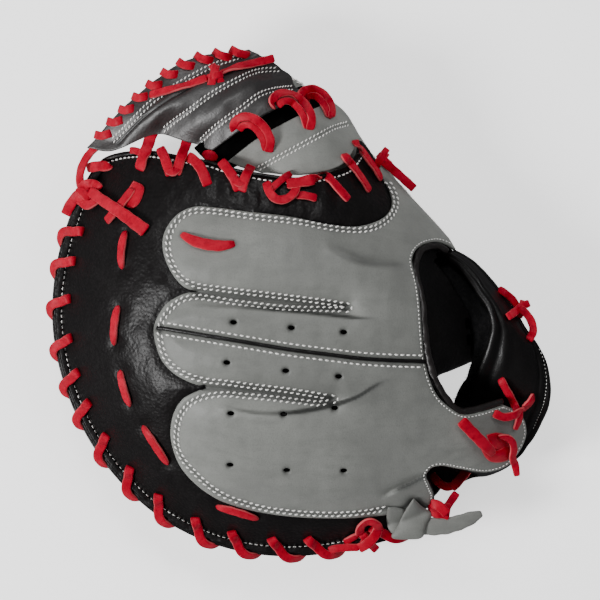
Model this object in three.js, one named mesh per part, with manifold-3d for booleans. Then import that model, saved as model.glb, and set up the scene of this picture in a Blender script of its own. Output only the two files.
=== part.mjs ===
// A catcher mitt for the left hand, lying palm down, in millimetres.
// X runs from the finger tips to the wrist, Y to the thumb side and Z out of the back of the hand.
import * as THREE from 'three';
import { mergeVertices } from 'three/addons/utils/BufferGeometryUtils.js';
import Module from 'manifold-3d';

const wasm = await Module();
wasm.setup();

// Driving dimensions
const CLEARANCE = 0.3;
const CROWN_HEIGHT = 118;
const POCKET_ROOF = 75;
const REST_FLATTENING = 5;
const GREY_LEATHER = 2;
const BACK_LEATHER = 3;
const WELT_WIDTH = 5;
const WELT_HEIGHT = 7;
const LACE_WIDTH = 5.2;
const LACE_THICKNESS = 2.2;
const LACE_LIFT = LACE_THICKNESS / 2 + 0.5;
const BINDING_WIDTH = 4.5;
const BINDING_HEIGHT = 7;
const STRAP_THICKNESS = 4;
const LINING_THICKNESS = 2.5;
const STRAP_CROWN = 3;
const LINING_DROP = 5.6;
const WEB_THICKNESS = 3;
const VALLEY_DEPTH = 6;
const VALLEY_HALF_WIDTH = 11;
const THUMB_WALL = 3;
const THUMB_SEAM_HEIGHT = 12;
const THUMB_TOP = 52;
const THUMB_LOWEST_TOP = 20;
const THUMB_SHOULDER = 12;
const THUMB_MIDDLE = 0.87;
const THUMB_OVERREACH = 1.03;
const THINNEST_PALM = 1.5;
const SPOKES = 44;
const BELOW_ALL = -5;
const ABOVE_ALL = 200;

// The dome is described in plan by polar coordinates about this hub.
const HUB = new THREE.Vector2(-32.5, -19.5);
const DOME_RINGS = [0.2, 0.38, 0.54, 0.67, 0.78, 0.87, 0.94, 1];
const POCKET_RINGS = [0.25, 0.48, 0.66, 0.79, 0.88, 0.92, 0.965, 1];

// Back of the hand: how far the dome reaches at each angle, its height there, and how round it is.
const DOME = [
  { angle: 0, reach: 200, edge: 48, power: 2.7 },
  { angle: 22, reach: 146, edge: 57, power: 3.2 },
  { angle: 46, reach: 136, edge: 58, power: 3.4 },
  { angle: 60, reach: 143, edge: 58, power: 3.0 },
  { angle: 90, reach: 150, edge: 52, power: 2.6 },
  { angle: 113, reach: 148, edge: 52, power: 2.5 },
  { angle: 133, reach: 142, edge: 50, power: 2.5 },
  { angle: 150, reach: 133, edge: 46, power: 2.5 },
  { angle: 170, reach: 126, edge: 44, power: 2.5 },
  { angle: 200, reach: 121.5, edge: 44, power: 2.5 },
  { angle: 225, reach: 124.5, edge: 44, power: 2.5 },
  { angle: 250, reach: 133, edge: 44, power: 2.5 },
  { angle: 275, reach: 143, edge: 44, power: 2.5 },
  { angle: 295, reach: 153, edge: 43, power: 2.5 },
  { angle: 315, reach: 170, edge: 42, power: 2.6 },
  { angle: 338, reach: 196, edge: 48, power: 3.0 },
];

// Catching face: reach in plan, height of its outer edge, place of the ridge that the mitt rests on,
// roundness, and the thickness of the padding half way out, at the ridge and at the edge.
const POCKET = [
  { angle: 0, reach: 158, edge: 13, ridge: 0.9, power: 2.3, half: 18, middle: 22, outer: 14 },
  { angle: 24, reach: 139, edge: 9, ridge: 0.93, power: 3.6, half: 14, middle: 16, outer: 7 },
  { angle: 46, reach: 132, edge: 9, ridge: 0.93, power: 5, half: 14, middle: 16, outer: 5 },
  { angle: 60, reach: 140, edge: 9, ridge: 0.93, power: 5, half: 14, middle: 16, outer: 5 },
  { angle: 72, reach: 157, edge: 9, ridge: 0.93, power: 5.5, half: 14, middle: 16, outer: 5 },
  { angle: 82, reach: 167, edge: 9, ridge: 0.93, power: 6, half: 14, middle: 16, outer: 5 },
  { angle: 95, reach: 178, edge: 14, ridge: 0.93, power: 6, half: 15, middle: 16, outer: 8 },
  { angle: 113, reach: 148, edge: 30, ridge: 0.88, power: 3, half: 22, middle: 60, outer: 60 },
  { angle: 133, reach: 142, edge: 36, ridge: 0.88, power: 2.2, half: 22, middle: 60, outer: 60 },
  { angle: 150, reach: 133, edge: 36, ridge: 0.88, power: 2.2, half: 22, middle: 60, outer: 60 },
  { angle: 170, reach: 126, edge: 36, ridge: 0.88, power: 2.2, half: 22, middle: 60, outer: 60 },
  { angle: 200, reach: 121.5, edge: 36, ridge: 0.88, power: 2.2, half: 22, middle: 60, outer: 60 },
  { angle: 225, reach: 124.5, edge: 36, ridge: 0.88, power: 2.2, half: 22, middle: 60, outer: 60 },
  { angle: 250, reach: 133, edge: 36, ridge: 0.88, power: 2.2, half: 22, middle: 60, outer: 60 },
  { angle: 275, reach: 143, edge: 36, ridge: 0.88, power: 2.2, half: 22, middle: 60, outer: 60 },
  { angle: 295, reach: 153, edge: 34, ridge: 0.88, power: 2.2, half: 22, middle: 50, outer: 55 },
  { angle: 315, reach: 163, edge: 24, ridge: 0.88, power: 2.2, half: 20, middle: 30, outer: 24 },
  { angle: 336, reach: 165, edge: 15, ridge: 0.89, power: 2.3, half: 18, middle: 22, outer: 14 },
];

// Padding in the middle of the pocket, and how far out the half way column of the table above stands.
const POCKET_MIDDLE_PADDING = 13;
const POCKET_HALF_WAY = 0.55;
// Angles between which the thumb stall takes over from the hand and gives way to the web.
const STALL_START = [42, 54];
const STALL_END = [112, 120];
// Along the index finger's edge the palm rises to the back within these distances.
const INDEX_WALL = [9, 22];

// Edges in plan, each a row of points that a straight line joins to the next.
const CROTCH = [[54, 86], [58, 72], [61, 62], [59, 55], [53, 51], [40, 48], [20, 48]];
const LOBE_INDEX = [[-6, 53], [-32, 57], [-55, 60], [-68, 60], [-80, 52], [-88, 38], [-86, 22], [-74, 7]];
const LOBE_MIDDLE = [[-69, 4], [-81, 1], [-92, -11], [-94, -23], [-89, -37], [-73, -51], [-60, -56]];
const LOBE_LITTLE = [
  [-62, -60], [-76, -71], [-84, -88], [-79, -106], [-59, -125], [-40, -133], [-14, -140], [16, -142], [58, -139],
];
const WRIST_TAB = [
  [75, -139], [83, -137], [86, -128], [82, -113], [88, -107], [102, -109], [122, -112], [135, -108],
  [142, -98], [147, -84], [143, -75],
];
const WRIST_OPENING = [
  [131, -68], [118, -72], [102, -74], [94, -68], [83, -50], [78, -30], [75, 0], [71, 20], [76, 35], [88, 38],
];
const HORIZON = [[98, 38], [81, 57], [65, 75], [54, 86]];
const THUMB_OUTLINE = [
  [98, 39], [81, 57], [65, 75], [54, 86], [46, 97], [34, 116], [20, 129], [-1, 142], [-16, 153], [-33, 162],
  [-48, 160], [-58, 149], [-60, 134], [-40, 112], [-9, 93], [24, 66], [48, 40], [70, 12],
];
const THUMB_HOLLOW = [
  [112, 24], [81, 57], [65, 75], [54, 86], [46, 97], [34, 116], [20, 129], [-1, 142], [-16, 153], [-33, 162],
  [-48, 160], [-58, 149], [-61, 134], [-66, 112], [-30, 88], [10, 52], [40, 20], [80, -10],
];
const INDEX_EDGE = [
  [46, 99], [40, 105], [38, 94], [31, 85], [21, 81], [0, 77], [-20, 79], [-42, 83], [-58, 88], [-70, 90],
  [-96, 95], [-110, 95], [-118, 94], [-127, 91], [-132, 86],
];
const HEEL_EDGE = [
  [84, -138], [91, -127], [96, -118], [110, -110], [118, -98], [117, -81], [110, -72], [101, -68], [92, -62],
  [86, -55], [88, -50], [105, -44], [122, -37], [127, -22], [125, -2], [116, 14], [104, 30],
];
const RIM_START_ANGLE = 135;
const RIM_END_ANGLE = 312;
const VALLEYS = [
  { from: [-92, 8], to: [32, -6] },
  { from: [-90, -60], to: [24, -60] },
];

// The closed web in two pieces. Each row runs from the index finger over the top to the thumb.
const WEB_UPPER = [
  [[-138, 99, 50], [-110, 128, 62], [-75, 154, 65], [-33, 163, 58]],
  [[-122, 97, 59], [-97, 124, 74], [-58, 147, 73], [-24, 158, 59]],
  [[-93, 107, 68], [-68, 127, 84], [-36, 142, 82], [-8, 148, 58]],
  [[-70, 101, 76], [-50, 117, 90], [-23, 131, 88], [-2, 139, 60]],
  [[-57, 96, 80], [-37, 110, 92], [-14, 124, 89], [6, 134, 61]],
];
const WEB_LOWER = [
  [[-46, 89, 82], [-26, 104, 91], [-1, 118, 88], [21, 128, 62]],
  [[-36, 85, 84], [-12, 98, 93], [12, 109, 90], [33, 118, 64]],
  [[-25, 82, 86], [4, 81, 92], [26, 87, 88], [39, 105, 70]],
];
const WEB_SPAN = { long: 14, across: 10 };

// The strap over the wrist and its lining: left and right edges from the thumb side to the tab.
const STRAP = [
  { left: [95, 28, 58], right: [103, 34, 50], lining: [92, 23, 50] },
  { left: [104, 22, 70], right: [115, 24, 56], lining: [96, 15, 59] },
  { left: [114, 9, 80], right: [132, 4, 62], lining: [103, 3, 68] },
  { left: [121, -2, 86], right: [148, -20, 68], lining: [110, -10, 74] },
  { left: [124, -16, 88], right: [158, -36, 70], lining: [113, -25, 77] },
  { left: [121, -30, 86], right: [162, -54, 68], lining: [112, -38, 75] },
  { left: [116, -44, 79], right: [161, -68, 61], lining: [109, -50, 69] },
  { left: [112, -56, 69], right: [157, -80, 48], lining: [104, -59, 60] },
  { left: [111, -68, 60], right: [152, -91, 38], lining: [101, -68, 51] },
  { left: [112, -82, 53], right: [143, -103, 34], lining: [101, -80, 44] },
  { left: [108, -96, 46], right: [128, -111, 29] },
];

// Centres in plan of the laces that are wound over the rim, and the slant of each wind.
const RIM_LACES = [
  [60, -153], [15, -162], [-10, -161], [-37, -158], [-63, -150], [-90, -138], [-113, -122], [-133, -101],
  [-144, -76], [-151, -55], [-155, -31], [-156, -4], [-153, 21], [-150, 42],
];
const RIM_LACE_SLANT = 3.2;
// A wind's way in, up to the shoulder of the rim: how far in from the edge, and how high over the leather.
const RIM_WIND_BACK = [{ inward: 6, raise: -1.4 }, { inward: 0.5, raise: 1 }];
// Its way down beside the welt, from the welt's outer face and its upper edge.
const RIM_WIND_SIDE = [{ out: -0.4, down: 0 }, { out: 0, down: 3.5 }, { out: -0.3, down: 8.2 }];
// Its way in under the welt, from the body and the welt's upper edge.
const RIM_WIND_UNDER = [{ out: 3.6, down: 10.6 }, { out: 2, down: 16 }];
const WEB_EDGE_WINDS = { count: 10, first: 0.09, last: 0.93, slant: 0.012, width: 4.6 };

// Short stitches of lace that lie on the black pad or on the grey lobe: their ends in plan.
const PAD_STITCHES = [
  { name: 'pad_stitch_1', ends: [[-112, 44], [-114, 20]] },
  { name: 'pad_stitch_2', ends: [[-117, -5], [-120, -27]] },
  { name: 'pad_stitch_3', ends: [[-116, -45], [-110, -67]] },
  { name: 'pad_stitch_4', ends: [[-100, -82], [-87, -105]] },
  { name: 'pad_stitch_5', ends: [[-52, -134], [-29, -141]] },
];
const LOBE_STITCH = { name: 'lobe_stitch', ends: [[-74, 40], [-43, 36]] };

// Laces by their routes: each point has its place in plan and its least height. A lace rises over the
// pieces named in its column over, and a knot is a lump where its routes meet.
const BACK = ['finger_back', 'hand_back'];
const WEB = ['web_upper', 'web_lower'];
const CROTCH_LEATHER = [...BACK, 'web_lower'];
const LACES = [
  { name: 'gap_lace_1', over: BACK, routes: [[[-96, 109, 71], [-99, 99, 71], [-102, 90, 71], [-104, 83, 60]]] },
  {
    name: 'gap_lace_2',
    over: BACK,
    lift: 3,
    steps: 7,
    routes: [[[-91, 103, 64], [-88, 94, 74], [-81, 80, 60]], [[-73, 104, 68], [-76, 94, 66], [-81, 80, 60]]],
  },
  { name: 'gap_lace_3', over: BACK, lift: 2.4, steps: 7, routes: [[[-70, 99, 70], [-66, 89, 70], [-58, 74, 60]]] },
  {
    name: 'gap_lace_4',
    over: CROTCH_LEATHER,
    lift: 2.4,
    steps: 7,
    routes: [[[-49, 93, 75], [-46, 84, 70], [-40, 69, 60]], [[-33, 88, 80], [-35, 80, 70], [-40, 69, 60]]],
  },
  {
    name: 'web_loop_1',
    over: WEB,
    routes: [[[-45, 110, 60], [-40, 117, 97], [-30, 114, 99], [-23, 105, 97], [-19, 96, 60]]],
  },
  {
    name: 'web_loop_2',
    over: WEB,
    routes: [[[-21, 125, 60], [-15, 132, 94], [-6, 131, 95], [3, 123, 95], [8, 113, 60]]],
  },
  {
    name: 'web_loop_3',
    over: WEB,
    routes: [[[-4, 134, 60], [3, 137, 76], [12, 135, 80], [19, 129, 78], [23, 121, 60]]],
  },
  {
    name: 'crotch_lace_1',
    over: CROTCH_LEATHER,
    lift: 2.4,
    steps: 7,
    routes: [
      [[-21, 80, 82], [-19, 71, 60], [-13, 62, 60]], [[-4, 79, 82], [-7, 71, 60], [-13, 62, 60]],
      [[-6, 73, 60], [10, 78, 60], [23, 76, 60], [31, 65, 60]],
    ],
  },
  { name: 'crotch_lace_2', over: CROTCH_LEATHER, lift: 3.8, routes: [[[30, 91, 60], [35, 85, 60], [43, 74, 60]]] },
  {
    name: 'crotch_knot',
    over: CROTCH_LEATHER,
    lift: 2.4,
    knot: { at: [53, 94, 66], size: [5, 5, 4] },
    routes: [
      [[37, 100, 78], [44, 92, 60], [50, 81, 60]], [[44, 98, 64], [53, 94, 66]],
      [[53, 94, 66], [63, 86, 64], [74, 76, 60]],
    ],
  },
  {
    name: 'web_knot',
    over: WEB,
    lift: 1.9,
    knot: { at: [-55, 145, 60], size: [5, 5, 4] },
    routes: [[[-91, 131, 60], [-74, 139, 60], [-55, 145, 60]], [[-55, 145, 60], [-37, 150, 60], [-18, 157, 62]]],
  },
  {
    name: 'tip_knot',
    over: ['finger_back', 'rim_welt', 'web_upper'],
    lift: 2.2,
    knot: { at: [-139, 70, 56], size: [6, 5, 4] },
    routes: [
      [[-137, 96, 58], [-142, 84, 56], [-139, 70, 56]], [[-139, 70, 56], [-122, 59, 60], [-100, 43, 60]],
      [[-123, 50, 60], [-116, 61, 60], [-106, 73, 60]],
    ],
  },
  {
    name: 'tip_stub',
    over: ['finger_back', 'rim_welt', 'web_upper'],
    routes: [[[-131, 93, 50], [-127, 86, 50], [-121, 80, 50]]],
  },
  {
    name: 'strap_tie_upper',
    over: ['wrist_strap'],
    lift: 3.6,
    knot: { at: [137, -2, 70], size: [5, 5, 3.5] },
    routes: [[[128, 5, 60], [137, -2, 70]], [[137, -2, 70], [150, -10, 72], [151, -24, 77]]],
  },
  {
    name: 'strap_tie_lower',
    over: ['wrist_strap', 'hand_back', 'wrist_binding'],
    lift: 4.6,
    steps: 6,
    knot: { at: [139, -73, 74], size: [4.5, 5, 3.5] },
    routes: [
      [[130, -52, 60], [135, -63, 76], [139, -73, 74]], [[125, -74, 60], [139, -73, 74]],
      [[139, -73, 74], [152, -62, 70]], [[139, -73, 74], [139, -84, 64]],
    ],
  },
  {
    name: 'tab_knot',
    over: ['hand_back'],
    knot: { at: [128, -97, 66], size: [8, 7, 4] },
    width: 6.5,
    routes: [[[102, -78, 60], [113, -87, 60], [128, -97, 66]], [[128, -97, 66], [135, -105, 50], [141, -115, 44]]],
  },
  {
    name: 'heel_lace',
    over: ['palm'],
    lift: 3.4,
    routes: [[[90, -110, 32], [97, -119, 36], [106, -120, 36], [113, -111, 34]]],
  },
  {
    name: 'heel_knot',
    over: ['hand_back', 'rim_welt', 'palm'],
    knot: { at: [90, -137, 49], size: [5, 4, 3.5] },
    routes: [[[84, -134, 50], [90, -137, 49]], [[90, -137, 49], [100, -127, 49]]],
  },
  {
    name: 'rim_knot',
    over: ['finger_back', 'rim_welt', 'hand_back'],
    knot: { at: [46, -149, 50], size: [5, 5, 3.5] },
    routes: [[[19, -160, 40], [32, -155, 44], [46, -149, 50]]],
  },
];
const HEEL_TIE = {
  name: 'heel_tie',
  over: ['hand_back', 'finger_back', 'rim_welt'],
  width: 12,
  knot: { at: [73, -146, 52], size: [8, 11, 6] },
  routes: [[[73, -146, 52], [86, -147, 50], [100, -147, 48], [114, -142, 47]]],
};
const KNOT_SEGMENTS = [8, 5];

// Colours by eye
const leather = (color, roughness) => new THREE.MeshStandardMaterial({ color, roughness, metalness: 0 });
const BLACK = leather(0x1f1f20, 0.55);
const GREY = leather(0x808480, 0.6);
const RED = leather(0xc0303a, 0.5);
const LINING = leather(0x17171a, 0.95);

const vec = (x, y, z) => new THREE.Vector3(x, y, z);
const degrees = THREE.MathUtils.degToRad;
const smooth = THREE.MathUtils.smoothstep;

// Reads one column of a table at any angle, by a smooth curve through its rows.
function around(table, column, angle) {
  const turn = ((angle % 360) + 360) % 360;
  const count = table.length;
  let row = table.findLastIndex((entry) => entry.angle <= turn);
  if (row < 0) row = count - 1;
  const at = (step) => {
    const place = (row + step + count) % count;
    const wraps = Math.floor((row + step) / count);
    return { angle: table[place].angle + 360 * wraps, value: table[place][column] };
  };
  const [before, low, high, after] = [-1, 0, 1, 2].map(at);
  const span = high.angle - low.angle;
  const part = (turn - low.angle) / span;
  const slopeLow = ((high.value - before.value) / (high.angle - before.angle)) * span;
  const slopeHigh = ((after.value - low.value) / (after.angle - low.angle)) * span;
  const square = part * part;
  const cube = square * part;
  return (2 * cube - 3 * square + 1) * low.value + (cube - 2 * square + part) * slopeLow
    + (3 * square - 2 * cube) * high.value + (cube - square) * slopeHigh;
}

function polar(x, y) {
  const angle = THREE.MathUtils.radToDeg(Math.atan2(y - HUB.y, x - HUB.x));
  return { angle, radius: Math.hypot(x - HUB.x, y - HUB.y) };
}

function plan(angle, radius) {
  const turn = degrees(angle);
  return new THREE.Vector2(HUB.x + radius * Math.cos(turn), HUB.y + radius * Math.sin(turn));
}

function distanceToSegment(x, y, [ax, ay], [bx, by]) {
  const length = (bx - ax) ** 2 + (by - ay) ** 2;
  const part = THREE.MathUtils.clamp(((x - ax) * (bx - ax) + (y - ay) * (by - ay)) / length, 0, 1);
  return Math.hypot(x - ax - part * (bx - ax), y - ay - part * (by - ay));
}

function distanceToPath(x, y, path) {
  const steps = path.slice(1).map((point, i) => distanceToSegment(x, y, path[i], point));
  return Math.min(...steps);
}

// Height of the back of the mitt, with the two valleys between the lobes sunk into it.
function backHeight(x, y) {
  const { angle, radius } = polar(x, y);
  const ratio = Math.min(radius / around(DOME, 'reach', angle), 1.1);
  const edge = around(DOME, 'edge', angle);
  const rise = 1 - ratio ** around(DOME, 'power', angle);
  const sunk = VALLEYS.reduce((sum, { from, to }) => {
    const closeness = 1 - Math.min(distanceToSegment(x, y, from, to) / VALLEY_HALF_WIDTH, 1);
    return sum + VALLEY_DEPTH * closeness * closeness * (3 - 2 * closeness);
  }, 0);
  return edge + (CROWN_HEIGHT - edge) * rise - sunk;
}

function backNormal(x, y) {
  const step = 1;
  const slopeX = (backHeight(x + step, y) - backHeight(x - step, y)) / (2 * step);
  const slopeY = (backHeight(x, y + step) - backHeight(x, y - step)) / (2 * step);
  return vec(-slopeX, -slopeY, 1).normalize();
}

// A point on the back, raised along the normal by a height that may be negative.
function onBack(x, y, raise = 0) {
  return vec(x, y, backHeight(x, y)).addScaledVector(backNormal(x, y), raise);
}

// Height of the catching face: pressed flat on the ridge, hollow inside it and round beyond it.
function pocketHeight(angle, ratio) {
  const ridge = around(POCKET, 'ridge', angle);
  const edge = around(POCKET, 'edge', angle) + REST_FLATTENING;
  const beyond = Math.min((ratio - ridge) / (1 - ridge), 1);
  const height = ratio < ridge
    ? POCKET_ROOF * (1 - (ratio / ridge) ** around(POCKET, 'power', angle))
    : edge * (1 - Math.sqrt(1 - beyond * beyond));
  return Math.max(0, height - REST_FLATTENING);
}

// How much of the thumb stall a place belongs to: 0 over the hand, 1 under the web.
function stallShare(angle) {
  return smooth(angle, ...STALL_START) * (1 - smooth(angle, ...STALL_END));
}

function volumeOf(position, index) {
  let volume = 0;
  const corner = (i) => vec(position[3 * i], position[3 * i + 1], position[3 * i + 2]);
  for (let i = 0; i < index.length; i += 3) {
    volume += corner(index[i]).dot(corner(index[i + 1]).cross(corner(index[i + 2])));
  }
  return volume;
}

function meshGeometry(points, index) {
  const position = points.flatMap((point) => [point.x, point.y, point.z]);
  if (volumeOf(position, index) < 0) index.reverse();
  const geometry = new THREE.BufferGeometry();
  geometry.setAttribute('position', new THREE.Float32BufferAttribute(position, 3));
  geometry.setIndex(index);
  return geometry;
}

// A closed body between two surfaces that share one polar lattice.
function layer(rings, top, bottom) {
  const points = [];
  const index = [];
  for (const surface of [top, bottom]) {
    points.push(surface(0, 0));
    for (const ratio of rings) {
      for (let spoke = 0; spoke < SPOKES; spoke += 1) points.push(surface((360 * spoke) / SPOKES, ratio));
    }
  }
  const half = 1 + rings.length * SPOKES;
  const node = (ring, spoke) => 1 + ring * SPOKES + (spoke % SPOKES);
  for (let spoke = 0; spoke < SPOKES; spoke += 1) {
    index.push(0, node(0, spoke), node(0, spoke + 1));
    index.push(half, half + node(0, spoke + 1), half + node(0, spoke));
    for (let ring = 1; ring < rings.length; ring += 1) {
      const [a, b] = [node(ring - 1, spoke), node(ring, spoke)];
      const [c, d] = [node(ring, spoke + 1), node(ring - 1, spoke + 1)];
      index.push(a, b, c, a, c, d);
      index.push(half + a, half + c, half + b, half + a, half + d, half + c);
    }
    const [e, f] = [node(rings.length - 1, spoke), node(rings.length - 1, spoke + 1)];
    index.push(e, half + e, half + f, e, half + f, f);
  }
  return meshGeometry(points, index);
}

// A closed body through a row of rings with equal numbers of points, with flat ends.
function loft(rings) {
  const count = rings[0].length;
  const index = [];
  for (let row = 1; row < rings.length; row += 1) {
    for (let i = 0; i < count; i += 1) {
      const [a, b] = [(row - 1) * count + i, (row - 1) * count + ((i + 1) % count)];
      index.push(a, b, b + count, a, b + count, a + count);
    }
  }
  const last = (rings.length - 1) * count;
  for (let i = 2; i < count; i += 1) {
    index.push(0, i, i - 1);
    index.push(last, last + i - 1, last + i);
  }
  return meshGeometry(rings.flat(), index);
}

// A closed body over a grid of points: the grid is its upper face and a copy moved inward its lower.
function quilt(rows, thickness) {
  const [height, width] = [rows.length, rows[0].length];
  const at = (i, j) => rows[THREE.MathUtils.clamp(i, 0, height - 1)][THREE.MathUtils.clamp(j, 0, width - 1)];
  const lower = rows.map((row, i) => row.map((point, j) => {
    const along = at(i + 1, j).clone().sub(at(i - 1, j));
    const across = at(i, j + 1).clone().sub(at(i, j - 1));
    const normal = along.cross(across).normalize();
    if (normal.z < 0) normal.negate();
    return point.clone().addScaledVector(normal, -thickness);
  }));
  const index = [];
  const node = (i, j) => i * width + j;
  const half = height * width;
  for (let i = 1; i < height; i += 1) {
    for (let j = 1; j < width; j += 1) {
      const [a, b, c, d] = [node(i - 1, j - 1), node(i, j - 1), node(i, j), node(i - 1, j)];
      index.push(a, b, c, a, c, d);
      index.push(half + a, half + c, half + b, half + a, half + d, half + c);
    }
  }
  const border = [];
  for (let j = 0; j < width - 1; j += 1) border.push(node(0, j));
  for (let i = 0; i < height - 1; i += 1) border.push(node(i, width - 1));
  for (let j = width - 1; j > 0; j -= 1) border.push(node(height - 1, j));
  for (let i = height - 1; i > 0; i -= 1) border.push(node(i, 0));
  border.forEach((a, i) => {
    const b = border[(i + 1) % border.length];
    index.push(a, b, half + b, a, half + b, half + a);
  });
  return meshGeometry([...rows.flat(), ...lower.flat()], index);
}

// A leather band along a path. Its width lies across the path and square to the up direction.
function band(points, { width = LACE_WIDTH, thickness = LACE_THICKNESS, up, side }) {
  const rings = points.map((point, i) => {
    const next = points[Math.min(i + 1, points.length - 1)];
    const previous = points[Math.max(i - 1, 0)];
    const along = next.clone().sub(previous).normalize();
    const hint = side ? null : typeof up === 'function' ? up(point) : up;
    const across = side ? side.clone() : along.clone().cross(hint).normalize();
    const rise = across.clone().cross(along).normalize();
    const corners = [[-1, -1], [1, -1], [1, 1], [-1, 1]];
    return corners.map(([s, t]) => point.clone().addScaledVector(across, (s * width) / 2)
      .addScaledVector(rise, (t * thickness) / 2));
  });
  return loft(rings);
}

const upFromBack = (point) => backNormal(point.x, point.y);

// A short lace that follows the back between two places in plan, just clear of a layer of its leather.
function stitchOnBack([from, to], leatherTop) {
  const raise = leatherTop + CLEARANCE + LACE_THICKNESS / 2;
  const path = [0, 0.25, 0.5, 0.75, 1].map((part) => onBack(
    THREE.MathUtils.lerp(from[0], to[0], part),
    THREE.MathUtils.lerp(from[1], to[1], part),
    raise,
  ));
  return band(path, { up: upFromBack });
}

function prism(outline, low, high) {
  const shape = new THREE.Shape(outline.map(([x, y]) => new THREE.Vector2(x, y)));
  const geometry = new THREE.ExtrudeGeometry(shape, { depth: high - low, bevelEnabled: false });
  geometry.translate(0, 0, low);
  return geometry;
}

// Moves the points of an outline inward by a distance, each along the mean of its two edge normals.
function inset(outline, distance) {
  const turns = outline.reduce((sum, [x, y], i) => {
    const [u, v] = outline[(i + 1) % outline.length];
    return sum + x * v - u * y;
  }, 0);
  const sign = Math.sign(turns);
  return outline.map(([x, y], i) => {
    const [px, py] = outline[(i + outline.length - 1) % outline.length];
    const [nx, ny] = outline[(i + 1) % outline.length];
    const before = new THREE.Vector2(-(y - py), x - px).normalize();
    const after = new THREE.Vector2(-(ny - y), nx - x).normalize();
    const mean = before.add(after).normalize().multiplyScalar(sign * distance);
    return [x + mean.x, y + mean.y];
  });
}

function toSolid(geometry) {
  const plain = geometry.clone();
  plain.deleteAttribute('normal');
  plain.deleteAttribute('uv');
  const merged = mergeVertices(plain, 1e-4);
  const vertProperties = new Float32Array(merged.attributes.position.array);
  const triVerts = new Uint32Array(merged.index.array);
  return new wasm.Manifold(new wasm.Mesh({ numProp: 3, vertProperties, triVerts }));
}

// The geometry of a solid's main body, without slivers that a cut may leave.
function fromSolid(solid) {
  const bodies = solid.decompose();
  const mesh = bodies.reduce((best, body) => (body.volume() > best.volume() ? body : best)).getMesh();
  const geometry = new THREE.BufferGeometry();
  geometry.setAttribute('position', new THREE.Float32BufferAttribute(mesh.vertProperties, 3));
  geometry.setIndex(Array.from(mesh.triVerts));
  return geometry;
}

const mitt = new THREE.Group();

function add(name, geometry, material) {
  const mesh = new THREE.Mesh(geometry, material);
  mesh.name = name;
  mitt.add(mesh);
}

// Outlines of the leather pieces in plan
const rimAngles = [];
for (let angle = RIM_START_ANGLE; angle <= RIM_END_ANGLE; angle += 3) rimAngles.push(angle);
const rimOutline = rimAngles.map((angle) => plan(angle, around(DOME, 'reach', angle) + 1).toArray());
const handOutline = [
  ...CROTCH, ...LOBE_INDEX, ...LOBE_MIDDLE, ...LOBE_LITTLE, ...WRIST_TAB, ...WRIST_OPENING,
  ...HORIZON.slice(0, -1),
];
const fingerOutline = [...INDEX_EDGE, ...rimOutline, ...WRIST_TAB.slice(1), ...WRIST_OPENING, ...HORIZON];
const palmOutline = [...INDEX_EDGE.slice(2), ...rimOutline, ...HEEL_EDGE, ...HORIZON, [46, 97]];

const backTop = (raise) => (angle, ratio) => {
  const place = plan(angle, ratio * around(DOME, 'reach', angle));
  return onBack(place.x, place.y, raise);
};

// A column over an outline, past everything above and below.
const column = (outline) => toSolid(prism(outline, BELOW_ALL, ABOVE_ALL));

function makeHandBack() {
  const body = toSolid(layer(DOME_RINGS, backTop(0), backTop(-GREY_LEATHER)));
  return fromSolid(body.intersect(column(handOutline)));
}

const FINGER_TOP = -GREY_LEATHER - CLEARANCE;
const FINGER_UNDER = FINGER_TOP - BACK_LEATHER;
const STALL_TOP = FINGER_UNDER - 2 * CLEARANCE;

function makeFingerBack() {
  const body = toSolid(layer(DOME_RINGS, backTop(FINGER_TOP), backTop(FINGER_UNDER)));
  return fromSolid(body.intersect(column(inset(fingerOutline, 0.5))));
}

// Roof of the hand and finger stalls: under the back leather, or under the top of the thumb stall.
function stallRoof(angle, x, y) {
  const under = onBack(x, y, STALL_TOP);
  return THREE.MathUtils.lerp(under.z, THUMB_TOP - THUMB_WALL - 1, stallShare(angle) ** 2);
}

function palmFace(angle, ratio) {
  const place = plan(angle, ratio * around(POCKET, 'reach', angle));
  return vec(place.x, place.y, pocketHeight(angle, ratio));
}

// Inner side of the palm: the catching face plus its padding, closed against the back at the rim.
function palmInner(angle, ratio) {
  const face = palmFace(angle, ratio);
  const read = (name) => around(POCKET, name, angle);
  const pads = [
    [0, POCKET_MIDDLE_PADDING], [POCKET_HALF_WAY, read('half')], [read('ridge'), read('middle')],
    [1, read('outer')], [1.1, 0],
  ];
  const next = pads.findIndex(([place]) => place > ratio);
  const [[low, from], [high, to]] = [pads[next - 1], pads[next]];
  const pad = THREE.MathUtils.lerp(from, to, (ratio - low) / (high - low));
  const nearIndex = 1 - smooth(distanceToPath(face.x, face.y, INDEX_EDGE.slice(2)), ...INDEX_WALL);
  const roof = stallRoof(angle, face.x, face.y);
  const wanted = THREE.MathUtils.lerp(face.z + pad, roof, nearIndex * (1 - stallShare(angle)));
  if (wanted < roof) return vec(face.x, face.y, Math.max(wanted, face.z + THINNEST_PALM));
  const under = onBack(face.x, face.y, STALL_TOP);
  return stallShare(angle) < 0.5 ? under : vec(face.x, face.y, roof);
}

// Everything from the underside of the back leather upward, which the pieces below keep clear of.
function backCover() {
  const wellAbove = 12;
  const body = toSolid(layer([...DOME_RINGS, 1.02], backTop(wellAbove), backTop(FINGER_UNDER - CLEARANCE)));
  return body.intersect(column(inset(fingerOutline, 0.1)).add(column(inset(handOutline, -CLEARANCE))));
}

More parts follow.
